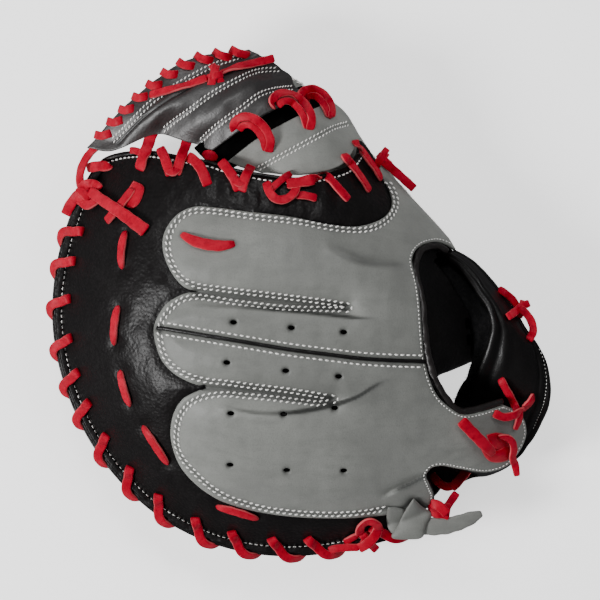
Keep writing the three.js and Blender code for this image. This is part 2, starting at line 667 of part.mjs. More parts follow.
// The space below the rounded top of the thumb stall, or below the back leather over the hand.
function belowThumbTop(handDrop, stallDrop) {
  const place = (angle, ratio) => plan(angle, ratio * around(POCKET, 'reach', angle) * THUMB_OVERREACH);
  const top = (angle, ratio) => {
    const { x, y } = place(angle, ratio);
    const bulge = THUMB_TOP - THUMB_SHOULDER * ((ratio - THUMB_MIDDLE) / (1 - THUMB_MIDDLE)) ** 2;
    const under = onBack(x, y, FINGER_UNDER).z - handDrop;
    const roof = Math.max(bulge, THUMB_LOWEST_TOP) - stallDrop;
    return vec(x, y, THREE.MathUtils.lerp(under, roof, stallShare(angle)));
  };
  const bottom = (angle, ratio) => {
    const { x, y } = place(angle, ratio);
    return vec(x, y, 2 * BELOW_ALL);
  };
  return toSolid(layer(POCKET_RINGS, top, bottom));
}

// The wall of the thumb stall in plan, grown by a clearance on its inner side.
function thumbWallZone(clearance, low) {
  const outside = toSolid(prism(inset(THUMB_OUTLINE, -clearance), low, ABOVE_ALL - 1));
  return outside.subtract(column(inset(THUMB_HOLLOW, THUMB_WALL + clearance)));
}

function makePalm(cover) {
  const body = toSolid(layer(POCKET_RINGS, palmInner, palmFace));
  const stall = column(THUMB_OUTLINE);
  const aboveStall = stall.subtract(belowThumbTop(CLEARANCE, THUMB_WALL + 0.5));
  const wall = thumbWallZone(CLEARANCE + 0.1, THUMB_SEAM_HEIGHT - CLEARANCE);
  return body.intersect(column(palmOutline).add(stall)).subtract(aboveStall).subtract(cover).subtract(wall);
}

function makeThumbBack(cover) {
  const outside = toSolid(prism(THUMB_OUTLINE, THUMB_SEAM_HEIGHT, ABOVE_ALL)).intersect(belowThumbTop(0, 0));
  const inside = column(inset(THUMB_HOLLOW, THUMB_WALL)).intersect(belowThumbTop(-15, THUMB_WALL));
  return outside.subtract(inside).subtract(cover);
}

const cover = backCover();
add('hand_back', makeHandBack(), GREY);
add('finger_back', makeFingerBack(), BLACK);
add('palm', fromSolid(makePalm(cover)), BLACK);
add('thumb_back', fromSolid(makeThumbBack(cover)), GREY);

// A smooth surface through a net of points, sampled evenly in both directions.
function netSurface(net, long, across) {
  const smoothRow = (row, steps) => new THREE.CatmullRomCurve3(row, false, 'centripetal').getPoints(steps);
  const rows = net.map((row) => smoothRow(row.map((point) => vec(...point)), across));
  const columns = rows[0].map((_, j) => smoothRow(rows.map((row) => row[j]), long));
  return columns[0].map((_, i) => columns.map((column) => column[i]));
}

const webUpperRows = netSurface(WEB_UPPER, WEB_SPAN.long, WEB_SPAN.across);
add('web_upper', quilt(webUpperRows, WEB_THICKNESS), BLACK);
add('web_lower', quilt(netSurface(WEB_LOWER, 8, WEB_SPAN.across), WEB_THICKNESS), GREY);

// Point beside the rim, by its distance out from the body and its height against the edge.
function besideRim(angle, out, height) {
  const place = plan(angle, around(DOME, 'reach', angle) + out);
  return vec(place.x, place.y, around(DOME, 'edge', angle) + height);
}

function makeRimWelt() {
  const inner = CLEARANCE;
  const outer = CLEARANCE + WELT_WIDTH;
  const rings = [];
  for (let angle = RIM_START_ANGLE - 2; angle <= RIM_END_ANGLE + 2; angle += 3) {
    rings.push([
      besideRim(angle, inner, -WELT_HEIGHT), besideRim(angle, outer, -WELT_HEIGHT),
      besideRim(angle, outer, -3), besideRim(angle, inner, -0.5),
    ]);
  }
  return loft(rings);
}

add('rim_welt', makeRimWelt(), BLACK);

// One lace wound over the rim, from its hole in the back leather round the welt to the palm side.
function makeRimLace([x, y]) {
  const { angle } = polar(x, y);
  const reach = around(DOME, 'reach', angle);
  const half = LACE_THICKNESS / 2;
  const beyondWelt = WELT_WIDTH + 3 * CLEARANCE + half + 0.1;
  const overBack = RIM_WIND_BACK.map(({ inward, raise }, i) => {
    const place = plan(angle - RIM_LACE_SLANT / (i + 1), reach - inward);
    return onBack(place.x, place.y, half + raise);
  });
  const path = [
    ...overBack,
    ...RIM_WIND_SIDE.map(({ out, down }) => besideRim(angle, beyondWelt + out, -down)),
    ...RIM_WIND_UNDER.map(({ out, down }) => besideRim(angle, out, -down)),
  ];
  const along = besideRim(angle + 2, 0, 0).sub(besideRim(angle - 2, 0, 0));
  return band(path, { side: vec(along.x, along.y, 0).normalize() });
}

RIM_LACES.forEach((centre, i) => {
  add(`rim_lace_${String(i + 1).padStart(2, '0')}`, makeRimLace(centre), RED);
});

// Moves an open path sideways in plan, to its right for a positive distance.
function offsetPath(path, distance) {
  return path.map(([x, y], i) => {
    const [px, py] = path[Math.max(i - 1, 0)];
    const [nx, ny] = path[Math.min(i + 1, path.length - 1)];
    const right = new THREE.Vector2(ny - py, px - nx).normalize().multiplyScalar(distance);
    return [x + right.x, y + right.y];
  });
}

function makeWristBinding() {
  const middle = offsetPath(WRIST_OPENING, BINDING_WIDTH / 2 + 4 * CLEARANCE);
  const path = middle.map(([x, y]) => vec(x, y, backHeight(x, y) - BINDING_HEIGHT / 2 + 1));
  return band(path, { width: BINDING_WIDTH, thickness: BINDING_HEIGHT, up: vec(0, 0, 1) });
}

add('wrist_binding', makeWristBinding(), BLACK);

function makeStrap() {
  const rows = STRAP.map(({ left, right }) => {
    const [a, b] = [vec(...left), vec(...right)];
    const middle = a.clone().lerp(b, 0.5);
    middle.z += STRAP_CROWN;
    return new THREE.CatmullRomCurve3([a, middle, b]).getPoints(4);
  });
  return quilt(rows, STRAP_THICKNESS);
}

function makeLining() {
  const rows = STRAP.filter(({ lining }) => lining).map(({ left, right, lining }) => {
    const drop = STRAP_THICKNESS + LINING_DROP;
    const inner = vec(...left).lerp(vec(...right), 0.12);
    const middle = vec(...left).lerp(vec(...right), 0.45);
    inner.z -= drop;
    middle.z -= drop - STRAP_CROWN / 2;
    return [vec(...lining), inner, middle];
  });
  return quilt(rows, LINING_THICKNESS);
}

add('wrist_strap', makeStrap(), BLACK);
add('strap_lining', makeLining(), LINING);

// Heights of the named pieces at a plan point and close round it, met from above or from below.
const FAR_AWAY = 300;
const caster = new THREE.Raycaster();
function heightsNear(names, x, y, margin, from) {
  const pieces = names.map((name) => mitt.getObjectByName(name));
  const places = [[0, 0], [margin, 0], [-margin, 0], [0, margin], [0, -margin]];
  const hits = places.map(([dx, dy]) => {
    caster.set(vec(x + dx, y + dy, from), vec(0, 0, -Math.sign(from)));
    return caster.intersectObjects(pieces, false)[0];
  });
  return hits.filter(Boolean).map((hit) => hit.point.z);
}

const topOf = (names, x, y, margin = LACE_WIDTH / 2) => Math.max(...heightsNear(names, x, y, margin, FAR_AWAY));
const bottomOf = (names, x, y, margin) => Math.min(...heightsNear(names, x, y, margin, -FAR_AWAY));

// A lace of one or more bands that meet, each following its route over the leather.
function makeLace({ over, routes, knot, width = LACE_WIDTH, lift = LACE_LIFT, steps = 5 }) {
  const centre = knot && vec(...knot.at);
  if (centre) {
    const clear = topOf(over, centre.x, centre.y, knot.size[0]) + knot.size[2] + 3 * CLEARANCE;
    centre.z = Math.max(centre.z, clear);
  }
  const place = ([x, y, z]) => (centre && x === centre.x && y === centre.y ? centre.clone() : vec(x, y, z));
  const bands = routes.map((route) => {
    const smoothed = new THREE.CatmullRomCurve3(route.map(place)).getSpacedPoints(steps);
    smoothed.forEach((point) => {
      point.z = Math.max(point.z, topOf(over, point.x, point.y, width / 2) + lift);
    });
    return toSolid(band(smoothed, { width, up: vec(0, 0, 1) }));
  });
  const joined = bands.reduce((sum, piece) => sum.add(piece));
  if (!knot) return fromSolid(joined);
  const lump = new THREE.SphereGeometry(1, ...KNOT_SEGMENTS);
  lump.scale(...knot.size);
  lump.translate(...centre);
  return fromSolid(joined.add(toSolid(lump)));
}

for (const { name, ends } of PAD_STITCHES) add(name, stitchOnBack(ends, FINGER_TOP), RED);
add(LOBE_STITCH.name, stitchOnBack(LOBE_STITCH.ends, 0), RED);
for (const lace of LACES) add(lace.name, makeLace(lace), RED);
add(HEEL_TIE.name, makeLace(HEEL_TIE), GREY);

// One wind of the lace along the outer edge of the web: over its face, round the edge and under it.
function makeWebEdgeLace(edge, part) {
  const half = LACE_THICKNESS / 2;
  const face = (t, inward, side) => {
    const place = edge.getPointAt(t);
    const along = edge.getTangentAt(t);
    place.add(vec(along.y, -along.x, 0).normalize().multiplyScalar(inward));
    place.z = side > 0 ? topOf(['web_upper'], place.x, place.y, 2.8) + half + 0.7
      : bottomOf(['web_upper'], place.x, place.y, 3.6) - half - 1.1;
    return place;
  };
  const beside = (out, height) => {
    const place = edge.getPointAt(part);
    const along = edge.getTangentAt(part);
    return place.add(vec(-along.y, along.x, 0).normalize().multiplyScalar(out)).add(vec(0, 0, height));
  };
  const path = [
    face(part + WEB_EDGE_WINDS.slant, 7, 1), face(part, 2.5, 1), beside(half + 1, 0.5),
    beside(half + 0.8, -3.5), face(part, 2, -1), face(part, 6, -1),
  ];
  const along = edge.getTangentAt(part);
  return band(path, { width: WEB_EDGE_WINDS.width, side: vec(along.x, along.y, 0).normalize().negate() });
}

const webEdge = new THREE.CatmullRomCurve3(webUpperRows[0]);
for (let wind = 0; wind < WEB_EDGE_WINDS.count; wind += 1) {
  const { first, last, count } = WEB_EDGE_WINDS;
  const part = THREE.MathUtils.lerp(first, last, wind / (count - 1));
  add(`web_lace_${String(wind + 1).padStart(2, '0')}`, makeWebEdgeLace(webEdge, part), RED);
}

// The origin goes to the middle of the box's underside.
const box = new THREE.Box3().setFromObject(mitt);
const middle = box.getCenter(vec(0, 0, 0));
for (const { geometry } of mitt.children) geometry.translate(-middle.x, -middle.y, -box.min.z);

export default mitt;
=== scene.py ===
"""The looks of a catcher mitt for the left hand, lying palm down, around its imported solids.

Lengths are in millimetres until a mesh is made. The plan has X to the wrist and Y to the thumb.
Places that were measured in the photograph are in its 600 unit frame, and at() brings them to
the plan.
"""
import math

import bpy
import numpy as np
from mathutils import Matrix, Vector
from mathutils.bvhtree import BVHTree
from mathutils.geometry import delaunay_2d_cdt


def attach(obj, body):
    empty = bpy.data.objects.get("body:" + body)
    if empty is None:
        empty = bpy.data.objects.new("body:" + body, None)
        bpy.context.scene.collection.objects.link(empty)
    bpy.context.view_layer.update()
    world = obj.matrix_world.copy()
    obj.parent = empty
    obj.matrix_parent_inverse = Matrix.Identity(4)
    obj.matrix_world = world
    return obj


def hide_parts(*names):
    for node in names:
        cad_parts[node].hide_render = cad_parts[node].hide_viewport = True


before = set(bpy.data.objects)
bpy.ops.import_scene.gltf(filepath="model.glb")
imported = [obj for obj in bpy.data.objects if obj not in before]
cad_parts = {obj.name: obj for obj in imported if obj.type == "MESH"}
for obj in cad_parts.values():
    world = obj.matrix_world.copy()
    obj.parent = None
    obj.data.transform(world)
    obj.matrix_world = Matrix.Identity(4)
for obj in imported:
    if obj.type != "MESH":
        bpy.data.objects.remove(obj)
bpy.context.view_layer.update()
RNG = np.random.default_rng(7)

METRE = 1000.0
UP = np.array([0.0, 0.0, 1.0])
# The plan's origin, from the solids' origin in the middle of their box's underside
PLAN_SHIFT = np.array([1.5437, 2.8372, 0.0])
# A unit of the photograph's frame, and the frame's middle in such units
UNIT = 0.65
MIDDLE = 300

# Sizes shared with the solids
CROWN_HEIGHT = 118.0
GREY_LEATHER = 2.0
LACE_THICKNESS = 2.2
HUB = np.array([-32.5, -19.5])
# angle, reach, edge height, roundness of the back
DOME = [
    (0, 200, 48, 2.7), (22, 146, 57, 3.2), (46, 136, 58, 3.4), (60, 143, 58, 3.0),
    (90, 150, 52, 2.6), (113, 148, 52, 2.5), (133, 142, 50, 2.5), (150, 133, 46, 2.5),
    (170, 126, 44, 2.5), (200, 121.5, 44, 2.5), (225, 124.5, 44, 2.5), (250, 133, 44, 2.5),
    (275, 143, 44, 2.5), (295, 153, 43, 2.5), (315, 170, 42, 2.6), (338, 196, 48, 3.0),
]


# Curves and distances

def at(x, y):
    return np.array([(x - MIDDLE) * UNIT, (MIDDLE - y) * UNIT])


def places(*pairs):
    return np.array([at(x, y) for x, y in pairs])


def unit(vectors):
    return vectors / np.linalg.norm(vectors, axis=-1, keepdims=True)


def lengths(points):
    """The way along a path to each of its points."""
    return np.concatenate([[0], np.cumsum(np.linalg.norm(np.diff(points, axis=0), axis=1))])


def sample(table, along, marks):
    """A table's columns read at the marks, where its rows lie along a way."""
    return np.stack([np.interp(marks, along, column) for column in table.T], axis=1)


def resample(points, step):
    points = np.array(points, float)
    along = lengths(points)
    count = max(2, int(round(along[-1] / step)) + 1)
    return sample(points, along, np.linspace(0, along[-1], count))


def hermite(t, start, end, start_way, end_way):
    """A cubic from start to end as t goes from 0 to 1, with the given ways at its ends."""
    return ((2 * t ** 3 - 3 * t ** 2 + 1) * start + (t ** 3 - 2 * t ** 2 + t) * start_way
            + (3 * t ** 2 - 2 * t ** 3) * end + (t ** 3 - t ** 2) * end_way)


def curve(points, step=1.5):
    """A smooth curve through the points, in even steps."""
    p = np.asarray(points, float)
    p = np.vstack([2 * p[0] - p[1], p, 2 * p[-1] - p[-2]])
    out = []
    for i in range(1, len(p) - 2):
        before, here, after = np.diff(p[i - 1:i + 3], axis=0)
        a, b, c = (max(math.sqrt(np.linalg.norm(way)), 1e-6) for way in (before, here, after))
        start = (before / a - (before + here) / (a + b) + here / b) * b
        end = (here / b - (here + after) / (b + c) + after / c) * b
        count = max(2, int(np.linalg.norm(here) / 0.5))
        t = np.linspace(0, 1, count, endpoint=False)[:, None]
        out.append(hermite(t, p[i], p[i + 1], start, end))
    return resample(np.vstack(out + [p[-2:-1]]), step)


def photo_curve(points, step=1.5):
    return curve(places(*points), step)


def closed(loop):
    return np.vstack([loop, loop[:1]])


def nearest(points, path):
    """Distance of each point from a path in plan, the side it is on (left is positive), and its
    way along."""
    best = np.full(len(points), 1e9)
    side, way = np.zeros((2, len(points)))
    for start, end, before in zip(path[:-1], path[1:], lengths(path)):
        edge = end - start
        size = float(edge @ edge)
        if size < 1e-12:
            continue
        part = np.clip(((points - start) @ edge) / size, 0, 1)
        gap = points - start - part[:, None] * edge
        far = np.hypot(gap[:, 0], gap[:, 1])
        closer = far < best
        best = np.where(closer, far, best)
        turn = edge[0] * (points[:, 1] - start[1]) - edge[1] * (points[:, 0] - start[0])
        side = np.where(closer, np.sign(turn), side)
        way = np.where(closer, before + part * math.sqrt(size), way)
    return best, side, way


def off(points, *paths):
    """Distance of each point from the nearest of some paths in plan."""
    return np.min([nearest(points, path)[0] for path in paths], axis=0)


def off_spot(points, spot):
    return np.hypot(*(points - spot).T)


def inside(points, loop):
    x, y = points[:, 0], points[:, 1]
    odd = np.zeros(len(points), bool)
    for (ax, ay), (bx, by) in zip(loop, np.roll(loop, -1, axis=0)):
        if ay != by:
            odd ^= ((ay > y) != (by > y)) & (x < (bx - ax) * (y - ay) / (by - ay) + ax)
    return odd


def beside(path, distance):
    """Moves an open path in plan to its right."""
    along = unit(np.gradient(path, axis=0))
    return path + np.column_stack([along[:, 1], -along[:, 0]]) * distance


def ramp(value, low, high):
    t = np.clip((value - low) / (high - low), 0, 1)
    return t * t * (3 - 2 * t)


def bump(distance, width, height=1.0):
    """A ridge along a line, or a knob round a spot."""
    return height * np.exp(-(distance / width) ** 2)


class Waves:
    """Smooth noise over the plan: a sum of sine waves in seeded directions, about -1 to 1."""

    COUNT = 14

    def __init__(self, seed, size):
        rng = np.random.default_rng(seed)
        turn = rng.uniform(0, 2 * math.pi, self.COUNT)
        length = size * rng.uniform(0.6, 1.8, self.COUNT)
        self.wave = np.stack([np.cos(turn), np.sin(turn)]) * (2 * math.pi / length)
        self.phase = rng.uniform(0, 2 * math.pi, self.COUNT)

    def __call__(self, points):
        waves = np.sin(points @ self.wave + self.phase).sum(axis=1)
        return waves / math.sqrt(self.COUNT) / 1.4


broad, fine, puckers = Waves(3, 70), Waves(5, 14), Waves(61, 9)


# The back's shape

def wheel(column):
    """A column of DOME at every degree, by the same smooth curve as in the solids."""
    table = [(row[0] + 360 * lap, row[column]) for lap in (-1, 0, 1) for row in DOME]
    values = []
    for turn in np.arange(361) % 360:
        last = max(i for i, (angle, _) in enumerate(table) if angle <= turn)
        (a0, v0), (a1, v1), (a2, v2), (a3, v3) = table[last - 1:last + 3]
        span = a2 - a1
        values.append(hermite((turn - a1) / span, v1, v2,
                              (v2 - v0) / (a2 - a0) * span, (v3 - v1) / (a3 - a1) * span))
    return np.array(values)


REACH, EDGE, POWER = wheel(1), wheel(2), wheel(3)


def turn_of(points):
    return np.degrees(np.arctan2(points[:, 1] - HUB[1], points[:, 0] - HUB[0])) % 360


def read(wheel_values, turns):
    return np.interp(turns % 360, np.arange(361), wheel_values)


def dome(points):
    """Height of the plain back over a place in plan."""
    turns = turn_of(points)
    ratio = np.minimum(off_spot(points, HUB) / read(REACH, turns), 1.1)
    edge = read(EDGE, turns)
    return edge + (CROWN_HEIGHT - edge) * (1 - ratio ** read(POWER, turns))


def dome_normal(points):
    step = 0.8
    fall = [dome(points - way) - dome(points + way) for way in ([step, 0], [0, step])]
    return unit(np.column_stack([*fall, np.full(len(points), 2 * step)]))


def beside_rim(turns, out, height=0.0):
    """Places beside the rim, by their distance out from the body and height against its edge."""
    turns = np.atleast_1d(turns)
    radius = read(REACH, turns) + out
    ways = np.column_stack([np.cos(np.radians(turns)), np.sin(np.radians(turns))])
    return np.column_stack([HUB + radius[:, None] * ways, read(EDGE, turns) + height])


# Meshes

# Points and faces of each piece, and the marks that each material reads
SHAPES, READS = {}, {}
DOWN = Vector((0, 0, -1))
SKY = 200.0
# The distance between a lattice's rows, and how far it keeps from outlines and holes, in pitches
LATTICE_ROW, CLEAR_OF_EDGE, CLEAR_OF_HOLE = 0.87, 0.55, 0.4


def add_object(name, data):
    obj = bpy.data.objects.new(name, data)
    bpy.context.scene.collection.objects.link(obj)
    return obj


def piece(name, verts, faces, material, slot, nodes=(), **marks):
    """Adds a mesh given in plan millimetres, riding on the mitt, in place of the named solids."""
    mesh = bpy.data.meshes.new(name)
    mesh.from_pydata(((verts + PLAN_SHIFT) / METRE).tolist(), [],
                     [tuple(int(i) for i in face) for face in faces])
    mesh.validate()
    mesh.polygons.foreach_set("use_smooth", [True] * len(mesh.polygons))
    for key in READS[material.name]:
        layer = mesh.attributes.new(key, "FLOAT", "POINT")
        layer.data.foreach_set("value", np.full(len(verts), marks.get(key, 0.0), np.float32))
    mesh.materials.append(material)
    obj = add_object(name, mesh)
    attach(obj, "root")
    if nodes:
        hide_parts(*nodes)
    SHAPES[name] = (verts, faces)
    return obj


def fill(outline, pitch, holes=()):
    """Triangles over the area of a closed outline in plan, less some holes, on an even lattice."""
    low, high = outline.min(axis=0), outline.max(axis=0)
    rows = np.arange(low[1], high[1], pitch * LATTICE_ROW)
    lattice = np.array([(x + pitch / 2 * (j % 2), y) for j, y in enumerate(rows)
                        for x in np.arange(low[0], high[0], pitch)])
    lattice = lattice[inside(lattice, outline)]
    lattice = lattice[off(lattice, closed(outline)) > CLEAR_OF_EDGE * pitch]
    for hole in holes:
        clear = off(lattice, closed(hole)) > CLEAR_OF_HOLE * pitch
        lattice = lattice[clear & ~inside(lattice, hole)]
    edges, base = [], 0
    for loop in (outline, *holes):
        edges += [(base + i, base + (i + 1) % len(loop)) for i in range(len(loop))]
        base += len(loop)
    points = [Vector(point) for point in np.vstack([outline, *holes, lattice])]
    verts, _, faces, _, _, _ = delaunay_2d_cdt(points, edges, [], 1, 1e-4)
    verts, faces = np.array([tuple(vert) for vert in verts]), np.array(faces)
    for hole in holes:
        faces = faces[~inside(verts[faces].mean(axis=1), hole)]
    a, b, c = verts[faces].transpose(1, 0, 2)
    turned = np.cross(b - a, c - a) <= 0
    faces[turned] = faces[turned][:, [0, 2, 1]]
    return verts, [tuple(face) for face in faces.tolist()]


def sheet(verts, normals, triangles, thickness, round_edge=0.35):
    """A leather sheet: the given upper face, a lower face and a rounded cut edge between them."""
    count = len(verts)
    seen = dict.fromkeys(edge for a, b, c in triangles for edge in ((a, b), (b, c), (c, a)))
    ring = [(a, b) for a, b in seen if (b, a) not in seen]
    rim = sorted({i for edge in ring for i in edge})
    place = {v: 2 * count + k for k, v in enumerate(rim)}
    faces = list(triangles) + [(a + count, c + count, b + count) for a, b, c in triangles]
    out = np.zeros((count, 3))
    for a, b in ring:
        out[[a, b]] += np.cross(verts[b] - verts[a], normals[a])
        faces += [(b, a, place[a], place[b]), (place[b], place[a], a + count, b + count)]
    size = np.linalg.norm(out, axis=1)[:, None]
    out = np.divide(out, size, out=np.zeros_like(out), where=size > 1e-9)
    middle = verts - normals * thickness * 0.45 + out * round_edge
    return np.vstack([verts, verts - normals * thickness, middle[rim]]), faces


def on_sheet(values, solid, cut):
    """A mark for a sheet: its values on both faces, and one value on the cut edge."""
    return np.concatenate([values, values, np.full(len(solid) - 2 * len(values), cut)])


def leather(name, verts, normals, triangles, thickness, material, nodes, shade, cut,
            hole=None, round_edge=0.35):
    """A piece made of a leather sheet, with its painted shade, also in its holes. Cut is the shade
    of its edge.
    """
    solid, faces = sheet(verts, normals, triangles, thickness, round_edge)
    shade = np.minimum(np.broadcast_to(shade, len(verts)), 1)
    hole = np.zeros(len(verts)) if hole is None else hole
    slot = "grey_leather" if material is GREY else "black_leather"
    piece(name, solid, faces, material, slot, nodes, shade=on_sheet(shade, solid, cut),
          hole=on_sheet(hole, solid, 0.0))


def tube_faces(rings, sides):
    """Faces round a tube of rings, and over its two ends."""
    faces = []
    for base in range(0, (rings - 1) * sides, sides):
        for side in range(sides):
            a, b = base + side, base + (side + 1) % sides
            faces.append((a, b, b + sides, a + sides))
    last = (rings - 1) * sides
    return faces + [tuple(range(sides - 1, -1, -1)), tuple(range(last, last + sides))]


def band(path, ups, width, thickness=LACE_THICKNESS, corner=0.36, segments=12):
    """A flat band with rounded edges along a path in 3D. Its face looks along the ups."""
    along = unit(np.gradient(path, axis=0))
    across = unit(np.cross(along, ups))
    rise = np.cross(across, along)
    turns = (np.arange(segments) + 0.5) / segments * 2 * math.pi
    u, v = (np.sign(wave) * np.abs(wave) ** corner for wave in (np.cos(turns), np.sin(turns)))
    end_size = np.ones(len(path))
    end_size[[0, -1]] = 0.8
    verts = (path[:, None] + np.outer(width / 2 * end_size, u)[..., None] * across[:, None]
             + np.outer(thickness / 2 * end_size, v)[..., None] * rise[:, None])
    mark = np.tile(np.abs(u) ** 3, len(path))
    return verts.reshape(-1, 3), tube_faces(len(path), segments), mark


def join(parts):
    """Joins (verts, faces, mark) triples."""
    faces, base = [], 0
    for verts, part_faces, _ in parts:
        faces += [tuple(i + base for i in face) for face in part_faces]
        base += len(verts)
    return (np.vstack([verts for verts, _, _ in parts]), faces,
            np.concatenate([mark for _, _, mark in parts]))


def ground(*names):
    """What a lace or stitch lies on: a tree of the named pieces, in plan millimetres."""
    if not names:
        return None
    verts, faces, _ = join([(*SHAPES[name], ()) for name in names])
    return BVHTree.FromPolygons(verts.tolist(), faces)


def drop(tree, x, y):
    """Height and upward normal of the ground at a place in plan, or None where there is none."""
    hit, normal, _, _ = tree.ray_cast(Vector((x, y, SKY)), DOWN)
    if hit is None:
        return None
    return hit.z, np.array(-normal if normal.z < 0 else normal)


def height_near(tree, x, y):
    """Height of the ground at a place in plan, or the highest that is met close round it."""
    for reach in (0, 2, 4, 6, 9, 12):
        turns = np.radians(np.arange(0, 360, 45 if reach else 360))
        hits = [drop(tree, x + reach * math.cos(turn), y + reach * math.sin(turn))
                for turn in turns]
        heights = [hit[0] for hit in hits if hit]
        if heights:
            return max(heights)
    raise ValueError("no ground near this place")


# Materials

class Paint:
    """A procedural material: colour from noise and marks, relief from grain."""

    def __init__(self, name, base, specular, rough=0.5):
        self.material = bpy.data.materials.new(name)
        self.material.use_nodes = True
        self.tree = self.material.node_tree
        self.tree.nodes.clear()
        self.shader = self.node("ShaderNodeBsdfPrincipled",
                                {"Roughness": rough, "Specular IOR Level": specular})
        self.node("ShaderNodeOutputMaterial", {0: self.shader.outputs[0]})
        self.place = self.node("ShaderNodeTexCoord").outputs["Object"]
        self.colour = (*base, 1)
        self.relief = None
        READS[self.material.name] = []

    def node(self, kind, inputs=None, **values):
        """A new node, with its inputs given as values or as the sockets that feed them."""
        made = self.tree.nodes.new(kind)
        for key, value in values.items():
            setattr(made, key, value)
        for key, value in (inputs or {}).items():
            if isinstance(value, bpy.types.NodeSocket):
                self.tree.links.new(value, made.inputs[key])
            else:
                made.inputs[key].default_value = value
        return made

    def noise(self, size, detail=4.0, rough=0.55, stretch=None):
        """Noise whose lumps measure about size millimetres."""
        place = self.place
        if stretch:
            place = self.node("ShaderNodeMapping", {"Vector": place, "Scale": stretch}).outputs[0]
        values = {"Vector": place, "Scale": METRE / size, "Detail": detail, "Roughness": rough}
        return self.node("ShaderNodeTexNoise", values).outputs["Fac"]

    def cells(self, size, feature="F1"):
        values = {"Vector": self.place, "Scale": METRE / size}
        return self.node("ShaderNodeTexVoronoi", values, feature=feature).outputs["Distance"]

    def mark(self, name):
        READS[self.material.name].append(name)
        return self.node("ShaderNodeAttribute", attribute_name=name).outputs["Fac"]

    def mix(self, factor, colour, strength=1.0):
        """Mixes a colour in where the factor is high."""
        if strength != 1.0:
            scaled = self.node("ShaderNodeMath", {0: factor, 1: strength}, operation="MULTIPLY")
            factor = scaled.outputs[0]
        values = {0: factor, 6: self.colour, 7: (*colour, 1)}
        self.colour = self.node("ShaderNodeMix", values, data_type="RGBA").outputs[2]

    def tint(self, value, low, high, colour, strength):
        """Mixes a colour in where the value is over low, and in full from high."""
        values = {"Value": value, "From Min": low, "From Max": high}
        self.mix(self.node("ShaderNodeMapRange", values).outputs[0], colour, strength)

    def raise_by(self, height, depth):
        """Adds relief of the given depth in millimetres."""
        values = {"Strength": 1.0, "Distance": depth / METRE, "Height": height}
        if self.relief:
            values["Normal"] = self.relief
        self.relief = self.node("ShaderNodeBump", values).outputs[0]

    def rough_by(self, factor, low, high):
        values = {"Value": factor, "To Min": low, "To Max": high}
        made = self.node("ShaderNodeMapRange", values)
        self.tree.links.new(made.outputs[0], self.shader.inputs["Roughness"])

    def done(self):
        self.tree.links.new(self.colour, self.shader.inputs["Base Color"])
        if self.relief:
            self.tree.links.new(self.relief, self.shader.inputs["Normal"])
        return self.material


def grey_leather():
    paint = Paint("grey_leather", (0.168, 0.172, 0.161), 0.3)
    paint.tint(paint.noise(60, 3), 0.35, 0.7, (0.240, 0.246, 0.228), 0.7)
    paint.tint(paint.noise(9, 5, 0.65, (0.35, 1, 1)), 0.45, 0.75, (0.128, 0.132, 0.123), 0.55)
    paint.tint(paint.noise(0.9, 2), 0.5, 0.8, (0.10, 0.104, 0.097), 0.4)
    paint.mix(paint.mark("shade"), (0.020, 0.021, 0.020), 0.88)
    # Painted shade: near black in the vents' dents and in the lace holes
    paint.mix(paint.mark("hole"), (0.008, 0.008, 0.008))
    paint.raise_by(paint.noise(5, 4), 0.25)
    paint.raise_by(paint.cells(0.9), 0.05)
    paint.rough_by(paint.noise(12, 3), 0.42, 0.6)
    return paint.done()


def black_leather(name, pebble, depth, base, sheen, rough=(0.3, 0.52)):
    paint = Paint(name, base, sheen)
    paint.tint(paint.noise(30, 4), 0.45, 0.75, tuple(1.6 * part for part in base), 0.7)
    paint.tint(paint.cells(pebble), 0.1, 0.7, tuple(0.5 * part for part in base), 0.6)
    paint.mix(paint.mark("shade"), (0.0015, 0.0015, 0.0015), 0.85)
    paint.raise_by(paint.noise(7, 4, 0.6), 0.35)
    paint.raise_by(paint.cells(pebble, "SMOOTH_F1"), depth)
    paint.raise_by(paint.noise(0.7, 2), 0.04)
    paint.rough_by(paint.noise(4, 4), *rough)
    return paint.done()


def red_lace():
    paint = Paint("red_lace", (0.36, 0.001, 0.016), 0.1)
    paint.tint(paint.noise(7, 4), 0.4, 0.72, (0.52, 0.006, 0.030), 0.75)
    paint.tint(paint.noise(3, 5, 0.7), 0.5, 0.75, (0.16, 0.001, 0.008), 0.65)
    paint.tint(paint.mark("edge"), 0.82, 0.98, (0.74, 0.16, 0.165), 0.6)
    paint.raise_by(paint.noise(2.2, 4, 0.6), 0.22)
    paint.raise_by(paint.cells(0.8), 0.04)
    paint.rough_by(paint.noise(5, 3), 0.34, 0.55)
    return paint.done()


def thread():
    paint = Paint("white_thread", (0.88, 0.87, 0.84), 0.3, 0.6)
    paint.tint(paint.noise(25, 3), 0.4, 0.7, (0.66, 0.65, 0.62), 0.7)
    paint.raise_by(paint.noise(0.35, 2), 0.06)
    return paint.done()


# Black fleece, with its base darkened further for the shade inside the wrist opening: partly painted
# shade
def fleece():
    paint = Paint("black_fleece", (0.0035, 0.0035, 0.0038), 0.2, 0.95)
    paint.tint(paint.noise(2.5, 5, 0.7), 0.45, 0.7, (0.012, 0.0115, 0.012), 0.8)
    paint.raise_by(paint.noise(1.6, 5, 0.7), 0.9)
    return paint.done()


GREY = grey_leather()
BLACK = black_leather("black_leather", 2.0, 0.26, (0.0072, 0.0062, 0.0063), 0.2)
SMOOTH_BLACK = black_leather("smooth_black_leather", 1.1, 0.08, (0.0045, 0.0038, 0.0038), 0.35)
# A darker copy of the black leather, for the palm's hollow and the lining between the webs: painted
# shade
SHADED_INNER_BLACK = black_leather("shaded_inner_leather", 2.6, 0.2, (0.0018, 0.0016, 0.0016), 0.01)
